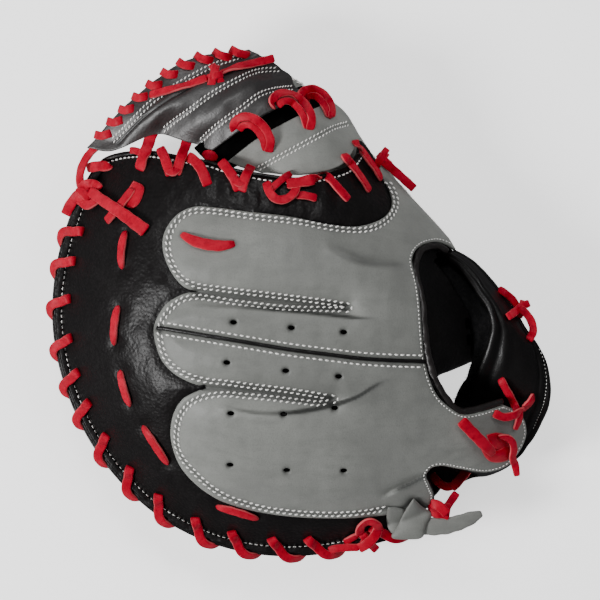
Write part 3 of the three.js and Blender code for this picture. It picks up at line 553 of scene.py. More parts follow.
# The web's base is lighter than the other black leathers: painted sheen, beside its real gloss
WEB_BLACK = black_leather("web_leather", 1.3, 0.12, (0.024, 0.0215, 0.021), 0.95, (0.42, 0.62))
# The bound edge's lighter, browner base is partly its own hue and partly painted sheen
BOUND_BLACK = black_leather("bound_leather", 1.1, 0.08, (0.012, 0.0095, 0.009), 0.6)
RED = red_lace()
THREAD = thread()
FLEECE = fleece()


# The leather of the back

# Leather edges, in the photograph's units: the lobes from the index finger's to the little
# finger's, the tab, the wrist's opening and the neck
INDEX_LOBE_EDGE = [
    (379, 158), (382, 175), (390, 190), (392.5, 204), (388, 214), (379, 221), (357, 227.5),
    (330, 226), (290, 218), (248, 213), (217, 209), (196, 208), (180, 215), (168.5, 229),
    (164.6, 243), (166.8, 258), (175, 275), (186.5, 287.2), (199, 291.3),
]
MIDDLE_LOBE_EDGE = [
    (199, 292), (188, 293.5), (179.5, 297), (168, 304.5), (160.5, 315.5), (156.3, 326),
    (156.3, 334), (158.5, 345), (163.8, 359), (175.3, 371.8), (192, 381), (207, 385.4),
]
LITTLE_LOBE_EDGE = [
    (207, 386.8), (196, 391.3), (184.4, 398), (175.8, 411.3), (172, 430.5), (174.9, 449.6),
    (182.5, 466.8), (197.8, 484), (217, 497.4), (236, 505), (255, 510), (284, 514.7),
    (312.6, 517), (351, 517.5), (389, 514.6), (414, 511), (429, 508),
]
TAB_EDGE = [
    (429, 508), (433, 497), (428, 483), (425, 475), (430, 467), (440, 464.5), (457, 467.5),
    (487, 472), (507, 466), (517, 455), (524.5, 441), (526, 429), (520, 414), (502, 404.5),
]
OPENING_EDGE = [
    (502, 404.5), (482, 410.5), (462, 413.5), (447, 406), (435, 394), (427, 376.4), (422, 354),
    (420, 334), (417.5, 299), (415, 281), (411.5, 268), (410.5, 260), (414, 251), (422, 244.5),
    (436, 241.5), (446, 244), (455, 249),
]
NECK_EDGE = [(455, 249), (449, 239), (425, 212), (400, 185), (385, 165), (379, 158)]

# Middles of the double rows of stitches along the index lobe, over and under the middle lobe,
# and along the little finger's lobe
GREY_SEAMS = [
    [(385.5, 180), (392, 190), (395.5, 203), (392, 214), (383, 223.5), (372, 229), (357, 231.3),
     (342, 230.5), (326, 228.4), (300, 223.5), (269, 220), (248, 217.5), (215, 213), (196, 212.5),
     (185, 217), (177.5, 224.5), (172, 235.5), (170.3, 247), (172.5, 259), (178, 270.8),
     (186.5, 279.9), (197.7, 285.3), (220, 288.7), (248, 292.2), (276, 295.5), (304, 299),
     (332, 302.7), (345, 305)],
    [(345, 309.3), (318, 308.9), (290, 308.2), (262, 305.4), (234, 302), (213, 298.6),
     (198, 297), (185, 299.5), (176, 305.8), (169, 313.5), (164.5, 321.3), (162.3, 328)],
    [(162.3, 330), (163, 338), (164.5, 347), (168, 356.4), (175.3, 364.8), (185, 371.5),
     (196.3, 376), (210.3, 379.1), (228.6, 380.9), (248.2, 383.7), (270.7, 386.3),
     (290.3, 388.8), (311.4, 392.1), (330, 395.4)],
    [(330, 400), (318, 401.5), (299, 399.5), (272, 396.4), (246, 394), (227, 392.4),
     (213, 393.6), (200, 397.2), (190, 403.9), (182, 415.2), (178.7, 429), (178.7, 444),
     (184.4, 457.3), (196, 470.7), (209.5, 483.6), (226.5, 494.5), (246, 501.6), (265, 506.8),
     (288, 510.2), (313, 512.3), (341, 512.9), (366, 511), (388, 507.2)],
]
MIDDLE_SEAM = [
    (159, 327.3), (168, 328.3), (206, 334.6), (248, 341.6), (290, 348.6), (328, 353.5),
    (356, 357), (384, 359), (424, 360.5),
]
VALLEY_TOP = [(199, 291.6), (220, 294.6), (262, 299), (304, 303.6), (335, 306.4), (347, 307.2)]
VALLEY_LOW = [(207, 386), (235, 387.5), (272, 391.5), (305, 396), (325, 398), (333, 397.8)]
# The stitch rows close round the valleys' inner ends
VALLEY_TURNS = [
    [(345, 302), (349.5, 304.5), (351, 308), (348, 311.5), (343, 312)],
    [(330, 393), (335, 394.5), (337.5, 398), (333.5, 401.5), (327, 403.5)],
]
FOLD_LITTLE = [
    (213, 401), (240, 408), (262, 411.5), (285, 411), (310, 408), (335, 402.5), (357, 394.5),
    (369, 387), (380, 380.5), (394, 375),
]
FOLD_MIDDLE = [
    (185, 304), (220, 306), (250, 307.5), (280, 309.8), (305, 312), (327, 314.3), (351, 317),
    (364, 317.8), (382, 318),
]
FOLD_KNUCKLE = [(322, 244), (334, 251), (345, 257), (357, 261.5), (368, 264), (384, 265), (410, 267)]
PLEAT_HIGH = [(378, 499), (391, 491.5), (403, 486), (413, 481.5), (420, 477), (428, 470)]
PLEAT_LOW = [(376, 509), (390, 508), (405, 506), (413, 499), (421, 505), (434, 514)]
# The leather on the right of each fold's way rises over a short step: the way, the height, width
# and reach of the step, and the strength and width of the fold's shade
FOLDS = [(photo_curve(way), *sizes) for way, *sizes in (
    (FOLD_LITTLE, 3.2, 1.3, 16, 1.5, 1.5), (FOLD_MIDDLE, 1.9, 1.1, 9, 1.1, 1.0),
    (FOLD_KNUCKLE, 2.8, 2.0, 15, 0.5, 2.2), (PLEAT_HIGH, 2.4, 1.2, 7, 1.5, 1.4),
    (PLEAT_LOW, 0.0, 1.2, 7, 1.3, 1.5))]
VENTS = [
    (235, 321.8), (291.7, 327.2), (342.9, 331.4), (228.3, 361.3), (286.1, 369.4), (338, 375),
    (232, 411.5), (284, 412.5), (334, 406.3), (231, 463), (287, 468.3), (343.3, 469),
]
VENT_LONG, VENT_WIDE = 2.5, 1.75
# Width of each groove and shade in the grey leather, and its depth or strength
GREY_GROOVES = {
    "quilting": (9, 2.4), "seam": (1.7, 0.75), "piping": (2.2, 1.6), "valley": (2.0, 3.4),
    "valley_top_sides": (7, 2.0), "valley_low_sides": (8, 2.4), "pleat": (2.4, 1.8),
    "vent": (1.9, 1.6),
}
GREY_SHADES = {
    "valley_top": (2.2, 0.8), "valley_low": (2.4, 0.8), "piping": (2.2, 0.5),
    "beside_piping": (26, 0.17), "seam": (1.6, 0.6), "hole": (2.4, 0.8),
}
GREY_PUFF, GREY_PITCH, CUT_SHADE = 1.2, 1.45, 0.45
# The stitch of lace on the first lobe: its ends, and how far the middle sags sideways
LOBE_STITCH = ("lobe_stitch", (185, 236), (235, 245), 5.5)

grey_outline = np.vstack([photo_curve(part)[:-1] for part in (
    INDEX_LOBE_EDGE, MIDDLE_LOBE_EDGE, LITTLE_LOBE_EDGE, TAB_EDGE, OPENING_EDGE, NECK_EDGE)])
grey_loop = closed(grey_outline)
grey_seams = [photo_curve(part) for part in GREY_SEAMS]
middle_seam = photo_curve(MIDDLE_SEAM)
valley_top, valley_low = photo_curve(VALLEY_TOP), photo_curve(VALLEY_LOW)
pleat_low = photo_curve(PLEAT_LOW)


def fold(points, path, height, width, reach):
    """A step along a path: the side on the path's right stands proud close to it."""
    far, side, way = nearest(points, path)
    total = lengths(path)[-1]
    fade = ramp(way, 0, 0.3 * total) * (1 - ramp(way, 0.75 * total, total))
    step = (ramp(far * -side, -width, width) - 0.5) * 2
    return height * fade * step * np.exp(-np.maximum(far - width, 0) / reach)


def grey_relief(points):
    """Height of the grey leather's details over the plain dome."""
    seam, pipe = off(points, *grey_seams), off(points, middle_seam)
    top, low = off(points, valley_top), off(points, valley_low)
    grooves = GREY_GROOVES
    height = GREY_PUFF - bump(np.minimum(seam, pipe * 1.2), *grooves["quilting"])
    height -= bump(seam, *grooves["seam"]) + bump(pipe, *grooves["piping"])
    height -= (bump(top, *grooves["valley"]) + bump(top, *grooves["valley_top_sides"])
               + bump(low, *grooves["valley"]) + bump(low, *grooves["valley_low_sides"]))
    height -= (0.9 * np.exp(-off(points, grey_loop) / 0.9)
               + bump(off(points, pleat_low), *grooves["pleat"]))
    for path, rise, width, reach, _, _ in FOLDS:
        height += fold(points, path, rise, width, reach)
    for spot in places(*VENTS):
        height -= bump(off_spot(points, spot), *grooves["vent"])
    return height + 0.5 * broad(points) + 0.16 * fine(points)


def make_grey_back():
    turns = np.arange(0, 2 * math.pi, math.pi / 8)
    vent = np.column_stack([VENT_LONG * np.cos(turns), VENT_WIDE * np.sin(turns)])
    plan, triangles = fill(grey_outline, GREY_PITCH, [spot + vent for spot in places(*VENTS)])
    verts = np.column_stack([plan, dome(plan) + grey_relief(plan)])
    middle = off(plan, middle_seam)
    shades = GREY_SHADES
    shade = bump(off(plan, valley_top), *shades["valley_top"])
    shade += bump(off(plan, valley_low), *shades["valley_low"])
    shade += bump(middle, *shades["piping"]) + bump(middle, *shades["beside_piping"])
    for path, _, _, _, strength, width in FOLDS:
        far, _, way = nearest(plan, path)
        total = way.max()
        fade = ramp(way, 0.25 * total, 0.5 * total) * (1 - ramp(way, 0.82 * total, total))
        shade += bump(far, width, strength) * fade
    for path in grey_seams:
        shade += bump(off(plan, path), *shades["seam"])
    # Painted shade in the vents and in the lobe stitch's lace holes
    spots = places(*VENTS, *LOBE_STITCH[1:3])
    hole = np.max([bump(off_spot(plan, spot), *shades["hole"]) for spot in spots], axis=0)
    leather("back_grey", verts, dome_normal(plan), triangles, GREY_LEATHER, GREY, ["hand_back"],
            shade, CUT_SHADE, hole)


make_grey_back()

# Edges of the black leather beneath, in plan millimetres as in the solids
INDEX_EDGE = [
    (46, 99), (40, 105), (38, 94), (31, 85), (21, 81), (0, 77), (-20, 79), (-42, 83), (-58, 88),
    (-70, 90), (-96, 95), (-110, 95), (-118, 94), (-127, 91), (-132, 86),
]
WRIST_TAB = [
    (75, -139), (83, -137), (86, -128), (82, -113), (88, -107), (102, -109), (122, -112),
    (135, -108), (142, -98), (147, -84), (143, -75),
]
WRIST_OPENING = [
    (131, -68), (118, -72), (102, -74), (94, -68), (83, -50), (78, -30), (75, 0), (71, 20),
    (76, 34), (88, 37.5), (96, 34.5),
]
HORIZON = [(100, 33.5), (97, 39), (81, 57), (65, 75), (54, 86)]
RIM_TURNS = (135.0, 312.0)
# Short stitches of lace on the back: their ends, and how far the middle sags sideways
PAD_STITCHES = [
    ("pad_stitch_1", (127, 233), (124, 268), 2.0), ("pad_stitch_2", (120, 307), (116, 343), 1.5),
    ("pad_stitch_3", (122, 371), (131, 404), 1.0), ("pad_stitch_4", (145, 426), (168, 462), 0.0),
    ("pad_stitch_5", (218, 506), (257, 518), -1.0),
]
RIM_WRAPS = [
    (392, 536), (323, 549), (284, 548), (242, 542), (203, 531), (161, 513), (126, 489), (96, 456),
    (78, 417), (67, 384), (62, 347), (60, 306), (65, 267), (70, 235),
]

# Width of each groove and of the puckered strip in the black leather, and their depth
BLACK_GROOVES = {
    "beside_grey": (4, 1.2), "rim": (1.2, 0.7), "puckers": (9, 0.8), "stitch_hole": (4.5, 2.2),
    "wrap_hole": (3.2, 1.5),
}
BLACK_SWELL, BLACK_PITCH, BLACK_THICKNESS = 3.4, 2.1, 3.0
# How far the black leather goes down beneath the grey, and its shade beside the grey's edge
UNDER_GREY, BESIDE_GREY_SHADE = 1.2, (1.5, 0.9)

index_edge = curve(INDEX_EDGE[2:], 1.8)
black_outline = np.vstack([
    curve(INDEX_EDGE, 1.8), beside_rim(np.arange(*RIM_TURNS, 0.7), 0.6)[:, :2],
    *[resample(edge, 2)[:-1] for edge in (WRIST_TAB, WRIST_OPENING, HORIZON)],
])
wrap_turns = turn_of(places(*RIM_WRAPS))


def black_relief(points):
    """Height of the black leather's details: a swollen pad with puckers and pulled-in holes."""
    to_grey = off(points, grey_loop)
    to_rim = read(REACH, turn_of(points)) - off_spot(points, HUB)
    grooves = BLACK_GROOVES
    under = np.minimum(grey_relief(points), 0) - UNDER_GREY * ramp(to_grey, 0, 5)
    pad = BLACK_SWELL * ramp(to_grey, -6, 24) * ramp(to_rim, 2, 20)
    pad -= bump(to_grey, *grooves["beside_grey"])
    pad += 0.8 * broad(points + 40) * ramp(to_rim, 5, 20) + 0.3 * fine(points)
    pad -= bump(to_rim - 1.4, *grooves["rim"])
    pad += puckers(points * [1, 0.3]) * bump(off(points, index_edge) - 11, *grooves["puckers"])
    for _, start, end, _ in PAD_STITCHES:
        for spot in places(start, end):
            pad -= bump(off_spot(points, spot), *grooves["stitch_hole"])
    for hole in beside_rim(wrap_turns - 2.4, -6.5)[:, :2]:
        pad -= bump(off_spot(points, hole), *grooves["wrap_hole"])
    return np.where(inside(points, grey_outline), under, pad)


def make_black_back():
    plan, triangles = fill(black_outline, BLACK_PITCH)
    normals = dome_normal(plan)
    verts = np.column_stack([plan, dome(plan)]) + normals * (-GREY_LEATHER - 0.3)
    verts[:, 2] += black_relief(plan)
    leather("back_black", verts, normals, triangles, BLACK_THICKNESS, BLACK, ["finger_back"],
            bump(off(plan, grey_loop), *BESIDE_GREY_SHADE), 0.0)


make_black_back()


# Webs, strap and lining

# As in the solids: the rows of a web run from the index finger over the top to the thumb
WEB_UPPER = [
    [(-138, 99, 50), (-110, 128, 62), (-75, 154, 65), (-33, 163, 58)],
    [(-122, 97, 59), (-97, 124, 74), (-58, 147, 73), (-24, 158, 59)],
    [(-93, 107, 68), (-68, 127, 84), (-36, 142, 82), (-8, 148, 58)],
    [(-70, 101, 76), (-50, 117, 90), (-23, 131, 88), (-2, 139, 60)],
    [(-57, 96, 80), (-37, 110, 92), (-14, 124, 89), (6, 134, 61)],
]
WEB_LOWER = [
    [(-46, 89, 82), (-26, 104, 91), (-1, 118, 88), (21, 128, 62)],
    [(-36, 85, 84), (-12, 98, 93), (12, 109, 90), (33, 118, 64)],
    [(-25, 82, 86), (4, 81, 92), (26, 87, 88), (39, 105, 70)],
]
# Beneath both, where they are laced together
WEB_LINING = [
    [(-68, 98, 77), (-44, 116, 80), (-19, 130, 77), (1, 139, 54)],
    [(-58, 88.5, 79), (-31, 107, 81), (-7, 121, 78), (13, 131, 54)],
    [(-47, 83.5, 79), (-17, 99, 82), (7, 112, 78), (26, 122, 55)],
]
# Black leather beneath the tab, in the photograph's units, and how far down it closes the heel
HEEL_LINING = [
    (427, 505), (434, 506), (434, 492), (432, 480), (439, 486), (449, 490), (462, 484),
    (474, 479), (489, 477), (503, 471.5), (513, 464), (510, 458), (496, 458), (470, 461),
    (445, 458), (425, 462), (418, 480),
]
HEEL_FLOOR = 31.0
# left edge, right edge, free edge of the lining
STRAP = [
    ((91, 31, 58), (101, 33, 50), (88, 26, 50)), ((104, 22, 70), (115, 24, 56), (96, 15, 59)),
    ((114, 9, 80), (132, 4, 62), (103, 3, 68)), ((121, -2, 86), (148, -20, 68), (110, -10, 74)),
    ((124, -16, 88), (158, -36, 70), (113, -25, 77)),
    ((121, -30, 86), (162, -54, 68), (112, -38, 75)),
    ((116, -44, 79), (161, -68, 61), (109, -50, 69)),
    ((112, -56, 69), (157, -80, 48), (104, -59, 60)),
    ((111, -68, 60), (152, -91, 38), (101, -68, 51)),
    ((112, -82, 53), (143, -103, 34), (101, -80, 44)),
    ((108, -96, 46), (128, -111, 29), None),
]
STRAP_CROWN = 3.0
# Ridges along the strap and its shade: the part of the width, width and height of each
STRAP_RIDGES = [
    (0.045, 0.045, 1.1), (0.15, 0.04, -0.9), (0.26, 0.07, 0.7), (0.975, 0.03, 0.5),
    (0.93, 0.016, -0.9), (0.87, 0.03, 0.5), (0.81, 0.016, -0.7),
]
STRAP_SHADES = [(0.15, 0.03, 0.5), (0.93, 0.014, 0.8), (0.81, 0.014, 0.6)]
# The lining's depth beneath the strap, and the tufts along its free edge
LINING_DROP, TUFTS, TUFT_SIZE = 9.6, 420, 0.28
# Middles of the rows of stitches on the webs and the upper web's fold, in the photograph's units
WEB_SEAMS = [
    [(112, 142), (122, 133), (138, 117), (154, 102), (175, 88), (213, 67), (249, 54)],
    [(163, 132), (176, 122), (188, 114), (213, 96), (239, 81), (259, 72), (282, 70)],
    [(200, 144), (213, 132), (226, 122), (243, 110), (260, 97), (277, 91), (296, 88)],
]
WEB_FOLD = [
    (119, 144), (130, 132), (147, 116), (162, 105), (186, 91), (216, 75), (240, 63), (262, 56),
]
GREY_WEB_SEAM = [(256, 172), (275, 161.5), (296, 150), (318, 138), (334, 129), (349, 124)]
# Width and depth of the webs' grooves, and width and strength of their shades
WEB_QUILTING, GREY_WEB_QUILTING, WEB_SEAM, WEB_CREASE = (6, 2.3), (9, 2.0), (1.7, 0.6), (1.3, 1.5)
WEB_CREASE_SHADE, WEB_SEAM_SHADE, GREY_WEB_SEAM_SHADE = (1.4, 0.95), (1.2, 0.3), (1.5, 0.25)
WEB_PUFF = 0.8
# Places along and across each grid
WEB_NET, GREY_WEB_NET, WEB_LINING_NET, STRAP_NET, FLEECE_NET = (
    (84, 110), (50, 70), (40, 60), (120, 44), (90, 26))
WEB_LEATHER, WEB_LINING_LEATHER, STRAP_LEATHER, FLEECE_THICKNESS = 2.6, 2.2, 3.6, 2.4


def even(points, count):
    """A smooth curve through the points, as a number of evenly spaced places."""
    path = curve(points, 0.5)
    return sample(path, np.arange(len(path)), np.linspace(0, len(path) - 1, count))


def net(rows, long, across):
    """A smooth surface through rows of points, as a grid of long by across places."""
    ribs = [even(row, across) for row in rows]
    return np.stack([even([rib[j] for rib in ribs], long) for j in range(across)], axis=1)


def from_grid(grid):
    """Points, upward normals and triangles of a grid."""
    long, across = grid.shape[:2]
    normals = np.cross(np.gradient(grid, axis=0), np.gradient(grid, axis=1))
    turned = normals[..., 2].mean() < 0
    triangles = []
    for i in range(long - 1):
        for j in range(across - 1):
            a, b = i * across + j, (i + 1) * across + j
            for p, q, r in ((a, b, b + 1), (a, b + 1, a + 1)):
                triangles.append((p, r, q) if turned else (p, q, r))
    return grid.reshape(-1, 3), unit(-normals if turned else normals).reshape(-1, 3), triangles


def lay(name, grid, relief, thickness, material, nodes, shade=0.0, round_edge=0.6):
    """A leather piece over a grid, with relief along its normals."""
    verts, normals, triangles = from_grid(grid)
    leather(name, verts + normals * relief[:, None], normals, triangles, thickness, material,
            nodes, shade, 0.4, round_edge=round_edge)


def plan_of(grid):
    return grid.reshape(-1, 3)[:, :2]


web_seams = [photo_curve(row) for row in WEB_SEAMS]
grey_web_seam = photo_curve(GREY_WEB_SEAM)


def make_webs():
    grid = net(WEB_UPPER, *WEB_NET)
    plan = plan_of(grid)
    seam, crease = off(plan, *web_seams), off(plan, photo_curve(WEB_FOLD))
    relief = WEB_PUFF - bump(seam, *WEB_QUILTING) - bump(seam, *WEB_SEAM) - bump(crease, *WEB_CREASE)
    relief += 0.35 * fine(plan) + 0.4 * broad(plan)
    lay("web_black", grid, relief, WEB_LEATHER, WEB_BLACK, ["web_upper"],
        bump(crease, *WEB_CREASE_SHADE) + bump(seam, *WEB_SEAM_SHADE))
    grid = net(WEB_LOWER, *GREY_WEB_NET)
    plan = plan_of(grid)
    seam = off(plan, grey_web_seam)
    relief = WEB_PUFF - bump(seam, *GREY_WEB_QUILTING) - bump(seam, *WEB_SEAM)
    relief = relief + 0.3 * fine(plan) + 0.5 * broad(plan)
    lay("web_grey", grid, relief, WEB_LEATHER, GREY, ["web_lower"],
        bump(seam, *GREY_WEB_SEAM_SHADE))
    grid = net(WEB_LINING, *WEB_LINING_NET)
    # The lining shows only in the shade between the webs: its darker leather is painted shade
    lay("web_lining", grid, 0.5 * fine(plan_of(grid)), WEB_LINING_LEATHER, SHADED_INNER_BLACK, [])


def make_heel_lining():
    """Black leather beneath the tab, which shows along its lower edge and closes the heel."""
    plan, triangles = fill(photo_curve([*HEEL_LINING, HEEL_LINING[0]], 1.2)[:-1], 1.7)
    beyond = np.where(inside(plan, grey_outline), 0.0, off(plan, grey_loop))
    high = dome(plan) - GREY_LEATHER - 2.4
    height = high - (high - HEEL_FLOOR) * ramp(beyond, 0, 2.6)
    height += 0.9 * Waves(51, 6)(plan) * ramp(beyond, 1, 5)
    leather("heel_lining", np.column_stack([plan, height]), dome_normal(plan), triangles, 2.4,
            BLACK, [], 0.0, 0.0)


STRAP_EDGES = np.array([(left, right) for left, right, _ in STRAP], float)
STRAP_GRID = net([(left, (left + right) / 2 + STRAP_CROWN * UP, right)
                  for left, right in STRAP_EDGES], *STRAP_NET)


def make_strap():
    long, across = STRAP_GRID.shape[:2]
    way = np.repeat(np.linspace(0, 1, long), across)
    part = np.tile(np.linspace(0, 1, across), long)
    plan = plan_of(STRAP_GRID)
    relief = sum(bump(part - place, width, height) for place, width, height in STRAP_RIDGES)
    relief += 0.25 * fine(plan) + 0.3 * broad(plan) - 0.4
    relief -= bump(way - 0.86, 0.02, 0.9) * ramp(part, 0.1, 0.3)
    shade = sum(bump(part - place, width, strength) for place, width, strength in STRAP_SHADES)
    lay("strap", STRAP_GRID, relief, STRAP_LEATHER, SMOOTH_BLACK, ["wrist_strap"], shade,
        round_edge=0.9)


def make_lining():
    rows = []
    for (left, right), (_, _, free) in zip(STRAP_EDGES, STRAP[:-1]):
        rows.append([free, left + (right - left) * 0.12 - LINING_DROP * UP,
                     left + (right - left) * 0.45 - (LINING_DROP - 1.5) * UP])
    grid = net(rows, *FLEECE_NET)
    plan = plan_of(grid)
    relief = 0.5 * Waves(11, 5)(plan) + 0.5 * Waves(12, 12)(plan)
    verts, normals, triangles = from_grid(grid)
    solid, faces = sheet(verts + normals * relief[:, None], normals, triangles,
                         FLEECE_THICKNESS, round_edge=0.8)
    # Tufts along the free edge
    parts = [(solid, faces, ())]
    edge = grid[:, 0]
    out = unit(edge - grid[:, 2])
    for _ in range(TUFTS):
        spot = RNG.integers(0, len(edge))
        root = edge[spot] - out[spot] * 1.2 + RNG.normal(0, 0.5, 3) - UP
        tip = root + out[spot] * RNG.uniform(1.6, 3.4) + RNG.normal(0, 0.8, 3)
        side = unit(np.cross(tip - root, RNG.normal(0, 1, 3))) * TUFT_SIZE
        other = unit(np.cross(tip - root, side)) * TUFT_SIZE
        corners = [root + side, root - 0.5 * side + other, root - 0.5 * side - other, tip]
        parts.append((np.array(corners), [(0, 1, 3), (1, 2, 3), (2, 0, 3), (0, 2, 1)], ()))
    verts, faces, _ = join(parts)
    piece("strap_fleece", verts, faces, FLEECE, "lining_cloth", ["strap_lining"])


make_webs()
make_heel_lining()
make_strap()
make_lining()


# Edges, bindings and piping

# distance out, width and height of each layer of the rim's welt
RIM_LAYERS = [(0.4, 3.4, -1.7), (1.0, 5.0, -3.8), (1.7, 6.4, -5.9)]


def make_rim_layers():
    parts = []
    for out, width, height in RIM_LAYERS:
        path = beside_rim(np.arange(133.0, 314.0, 0.55), out, height)
        verts, faces, mark = band(path, UP, width, thickness=1.75, corner=0.45, segments=14)
        verts[:, 2] += 0.22 * Waves(int(width * 10), 9)(verts[:, :2])
        parts.append((verts, faces, mark))
    verts, faces, _ = join(parts)
    piece("rim_layers", verts, faces, BLACK, "black_leather", ["rim_welt"])


def make_opening_binding():
    middle = beside(curve(WRIST_OPENING, 1.2), 2.9)
    path = np.column_stack([middle, dome(middle) - 2.4])
    verts, faces, _ = band(path, UP, width=4.6, thickness=6.4, corner=0.75, segments=18)
    waves = [Waves(21, 7), Waves(22, 7), Waves(23, 4)]
    verts += 0.3 * np.column_stack([wave(verts[:, :2]) for wave in waves])
    piece("opening_binding", verts, faces, BOUND_BLACK, "black_leather", ["wrist_binding"])


def make_index_roll():
    path = np.column_stack([index_edge, dome(index_edge) - GREY_LEATHER - 1.2])
    verts, faces, _ = band(path, UP, width=3.4, thickness=4.2, corner=0.8, segments=14)
    verts[:, 2] += 0.3 * Waves(24, 8)(verts[:, :2])
    piece("index_roll", verts, faces, SMOOTH_BLACK, "black_leather")


def make_piping():
    height = dome(middle_seam) + grey_relief(middle_seam) + 0.75
    path = np.column_stack([middle_seam, height])
    verts, faces, _ = band(path, dome_normal(middle_seam), width=2.3, thickness=2.0, corner=0.85)
    piece("piping", verts, faces, SMOOTH_BLACK, "black_leather")


make_rim_layers()
make_opening_binding()
make_index_roll()
make_piping()


# Palm and thumb

CLOTH_STEPS = 20
# Where the palm's inner side shows beside the strap
STRAP_SIDE = [(104, 22), (121, -2), (124, -16), (121, -30), (116, -56)]


def give(thing, **values):
    for key, value in values.items():
        setattr(thing, key, value)


def points_of(mesh):
    flat = np.empty(len(mesh.vertices) * 3)
    mesh.vertices.foreach_get("co", flat)
    return flat.reshape(-1, 3)


def faces_of(mesh):
    return [tuple(face.vertices) for face in mesh.polygons]


def evaluated(obj):
    """The object's mesh with its modifiers, as points in metres and faces."""
    depsgraph = bpy.context.evaluated_depsgraph_get()
    made = bpy.data.meshes.new_from_object(obj.evaluated_get(depsgraph))
    points, faces = points_of(made), faces_of(made)
    bpy.data.meshes.remove(made)
    return points, faces


def worker(points, faces):
    mesh = bpy.data.meshes.new("work")
    mesh.from_pydata(points.tolist(), [], faces)
    return add_object("work", mesh)


def rounded(node, voxel, rounds):
    """An even, softened copy of a solid, with cells of the given size in millimetres."""
    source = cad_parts[node]
    turn = np.array(source.matrix_world)
    obj = worker(points_of(source.data) @ turn[:3, :3].T + turn[:3, 3], faces_of(source.data))
    give(obj.modifiers.new("even", "REMESH"), mode="VOXEL", voxel_size=voxel / METRE)
    give(obj.modifiers.new("soft", "SMOOTH"), factor=0.5, iterations=rounds)
    points, faces = evaluated(obj)
    bpy.data.objects.remove(obj)
    return points, faces


def inflate(points, faces, pressure, limit):
    """Pads a closed shape out by a short cloth simulation. No point moves more than the limit, in
    millimetres."""
    obj = worker(points, faces)
    grip = obj.vertex_groups.new(name="grip")
    grip.add(list(range(len(points))), 0.35, "REPLACE")
    cloth = obj.modifiers.new("cloth", "CLOTH")
    give(cloth.settings, quality=4, mass=0.35, tension_stiffness=12, compression_stiffness=12,
         shear_stiffness=5, bending_stiffness=0.6, use_pressure=True,
         uniform_pressure_force=pressure, vertex_group_mass="grip", pin_stiffness=0.6)
    cloth.settings.effector_weights.gravity = 0
    cloth.collision_settings.use_collision = False
    give(cloth.point_cache, frame_start=1, frame_end=CLOTH_STEPS)
    for step in range(1, CLOTH_STEPS + 1):
        bpy.context.scene.frame_set(step)
    way = evaluated(obj)[0] - points
    bpy.context.scene.frame_set(1)
    bpy.data.objects.remove(obj)
    far = np.linalg.norm(way, axis=1)[:, None]
    return points + way * np.minimum(1, limit / METRE / np.maximum(far, 1e-9))


def mesh_normals(points, faces):
    """Normals of a mesh of quads and triangles at its points."""
    corners = np.array([face[:4] if len(face) == 4 else (*face[:3], face[0]) for face in faces])
    a, b, c, d = points[corners].transpose(1, 0, 2)
    normals = np.zeros_like(points)
    for k in range(4):
        np.add.at(normals, corners[:, k], np.cross(c - a, d - b))
    return normals / np.maximum(np.linalg.norm(normals, axis=1)[:, None], 1e-12)


def make_thumb():
    points, faces = rounded("thumb_back", voxel=2.2, rounds=6)
    verts = points * METRE - PLAN_SHIFT
    creases = 0.5 * Waves(31, 30)(verts[:, :2]) + 0.25 * Waves(32, 12)(verts[:, ::2])
    verts += mesh_normals(points, faces) * creases[:, None]
    piece("thumb_grey", verts, faces, GREY, "grey_leather", ["thumb_back"])


def make_palm():
    points, faces = rounded("palm", voxel=3.6, rounds=5)
    points = inflate(points, faces, pressure=4.0, limit=2.5)
    verts = points * METRE - PLAN_SHIFT
    normals = mesh_normals(points, faces)
    creases = 0.8 * Waves(41, 34)(verts[:, :2]) + 0.35 * Waves(42, 13)(verts[:, :2])
    verts += normals * (creases * ramp(verts[:, 2], 2, 12))[:, None]
    verts[:, 2] = np.maximum(verts[:, 2], 0)
    obj = piece("palm_pad", verts, faces, BLACK, "black_leather", ["palm"])
    # The hollow behind the back's leather is darker: painted shade, by a darker copy of the black
    # leather
    obj.data.materials.append(SHADED_INNER_BLACK)
    opening = np.array(WRIST_OPENING + STRAP_SIDE, float)
    behind = inside(verts[:, :2], opening) & (normals[:, 0] < 0.3)
    shaded_faces = (inside(verts[:, :2], black_outline) | behind) & (normals[:, 2] > 0.1)
    shaded_faces &= verts[:, 2] > 12
    for face in obj.data.polygons:
        if shaded_faces[face.vertices[0]]:
            face.material_index = 1


make_thumb()
make_palm()


# White stitches

# part of the length and size of each ring round a stitch
STITCH_RINGS = [(-1.0, 0.35), (-0.72, 0.9), (0.0, 1.0), (0.72, 0.9), (1.0, 0.35)]
STITCH_SIDES = 6
# Half the distance between the rows of a double row, and how far its stitches slant
ROW_GAP = 1.25
ROW_SLANT = 24.0
# Threads that are finer than the main one, and shorter stitches of it
FINE = {"pitch": 3.0, "length": 2.2, "radius": 0.44}
BINDING = {"pitch": 2.6, "length": 1.5, "radius": 0.36}
FINEST = {"pitch": 2.6, "length": 1.3, "radius": 0.24}
SHORT = {"pitch": 3.6, "length": 2.3}
# How far single rows lie to the right of a path, below zero to its left: both sides of the piping,
# the bound edge of the opening and tab, the rim and the index finger's edge
BESIDE_PIPING, BINDING_INSET, RIM_INSET, INDEX_INSET = 3.8, -1.35, -1.5, -2.6
# The part of the strap's length where its row starts and ends, and its place across the grid
STRAP_ROW_START, STRAP_ROW_END, STRAP_ROW_PLACE = 0.45, 0.8, 40
# height and phase of the level rows on the thumb, and turn and phase of the upright ones
THUMB_LEVELS = [(16.8, 0.0), (19.3, 0.5), (41.6, 0.0), (44.1, 0.5)]
THUMB_UPRIGHTS = [(25.4, 0.0), (26.9, 0.5)]
THUMB_SLANT = 16.0


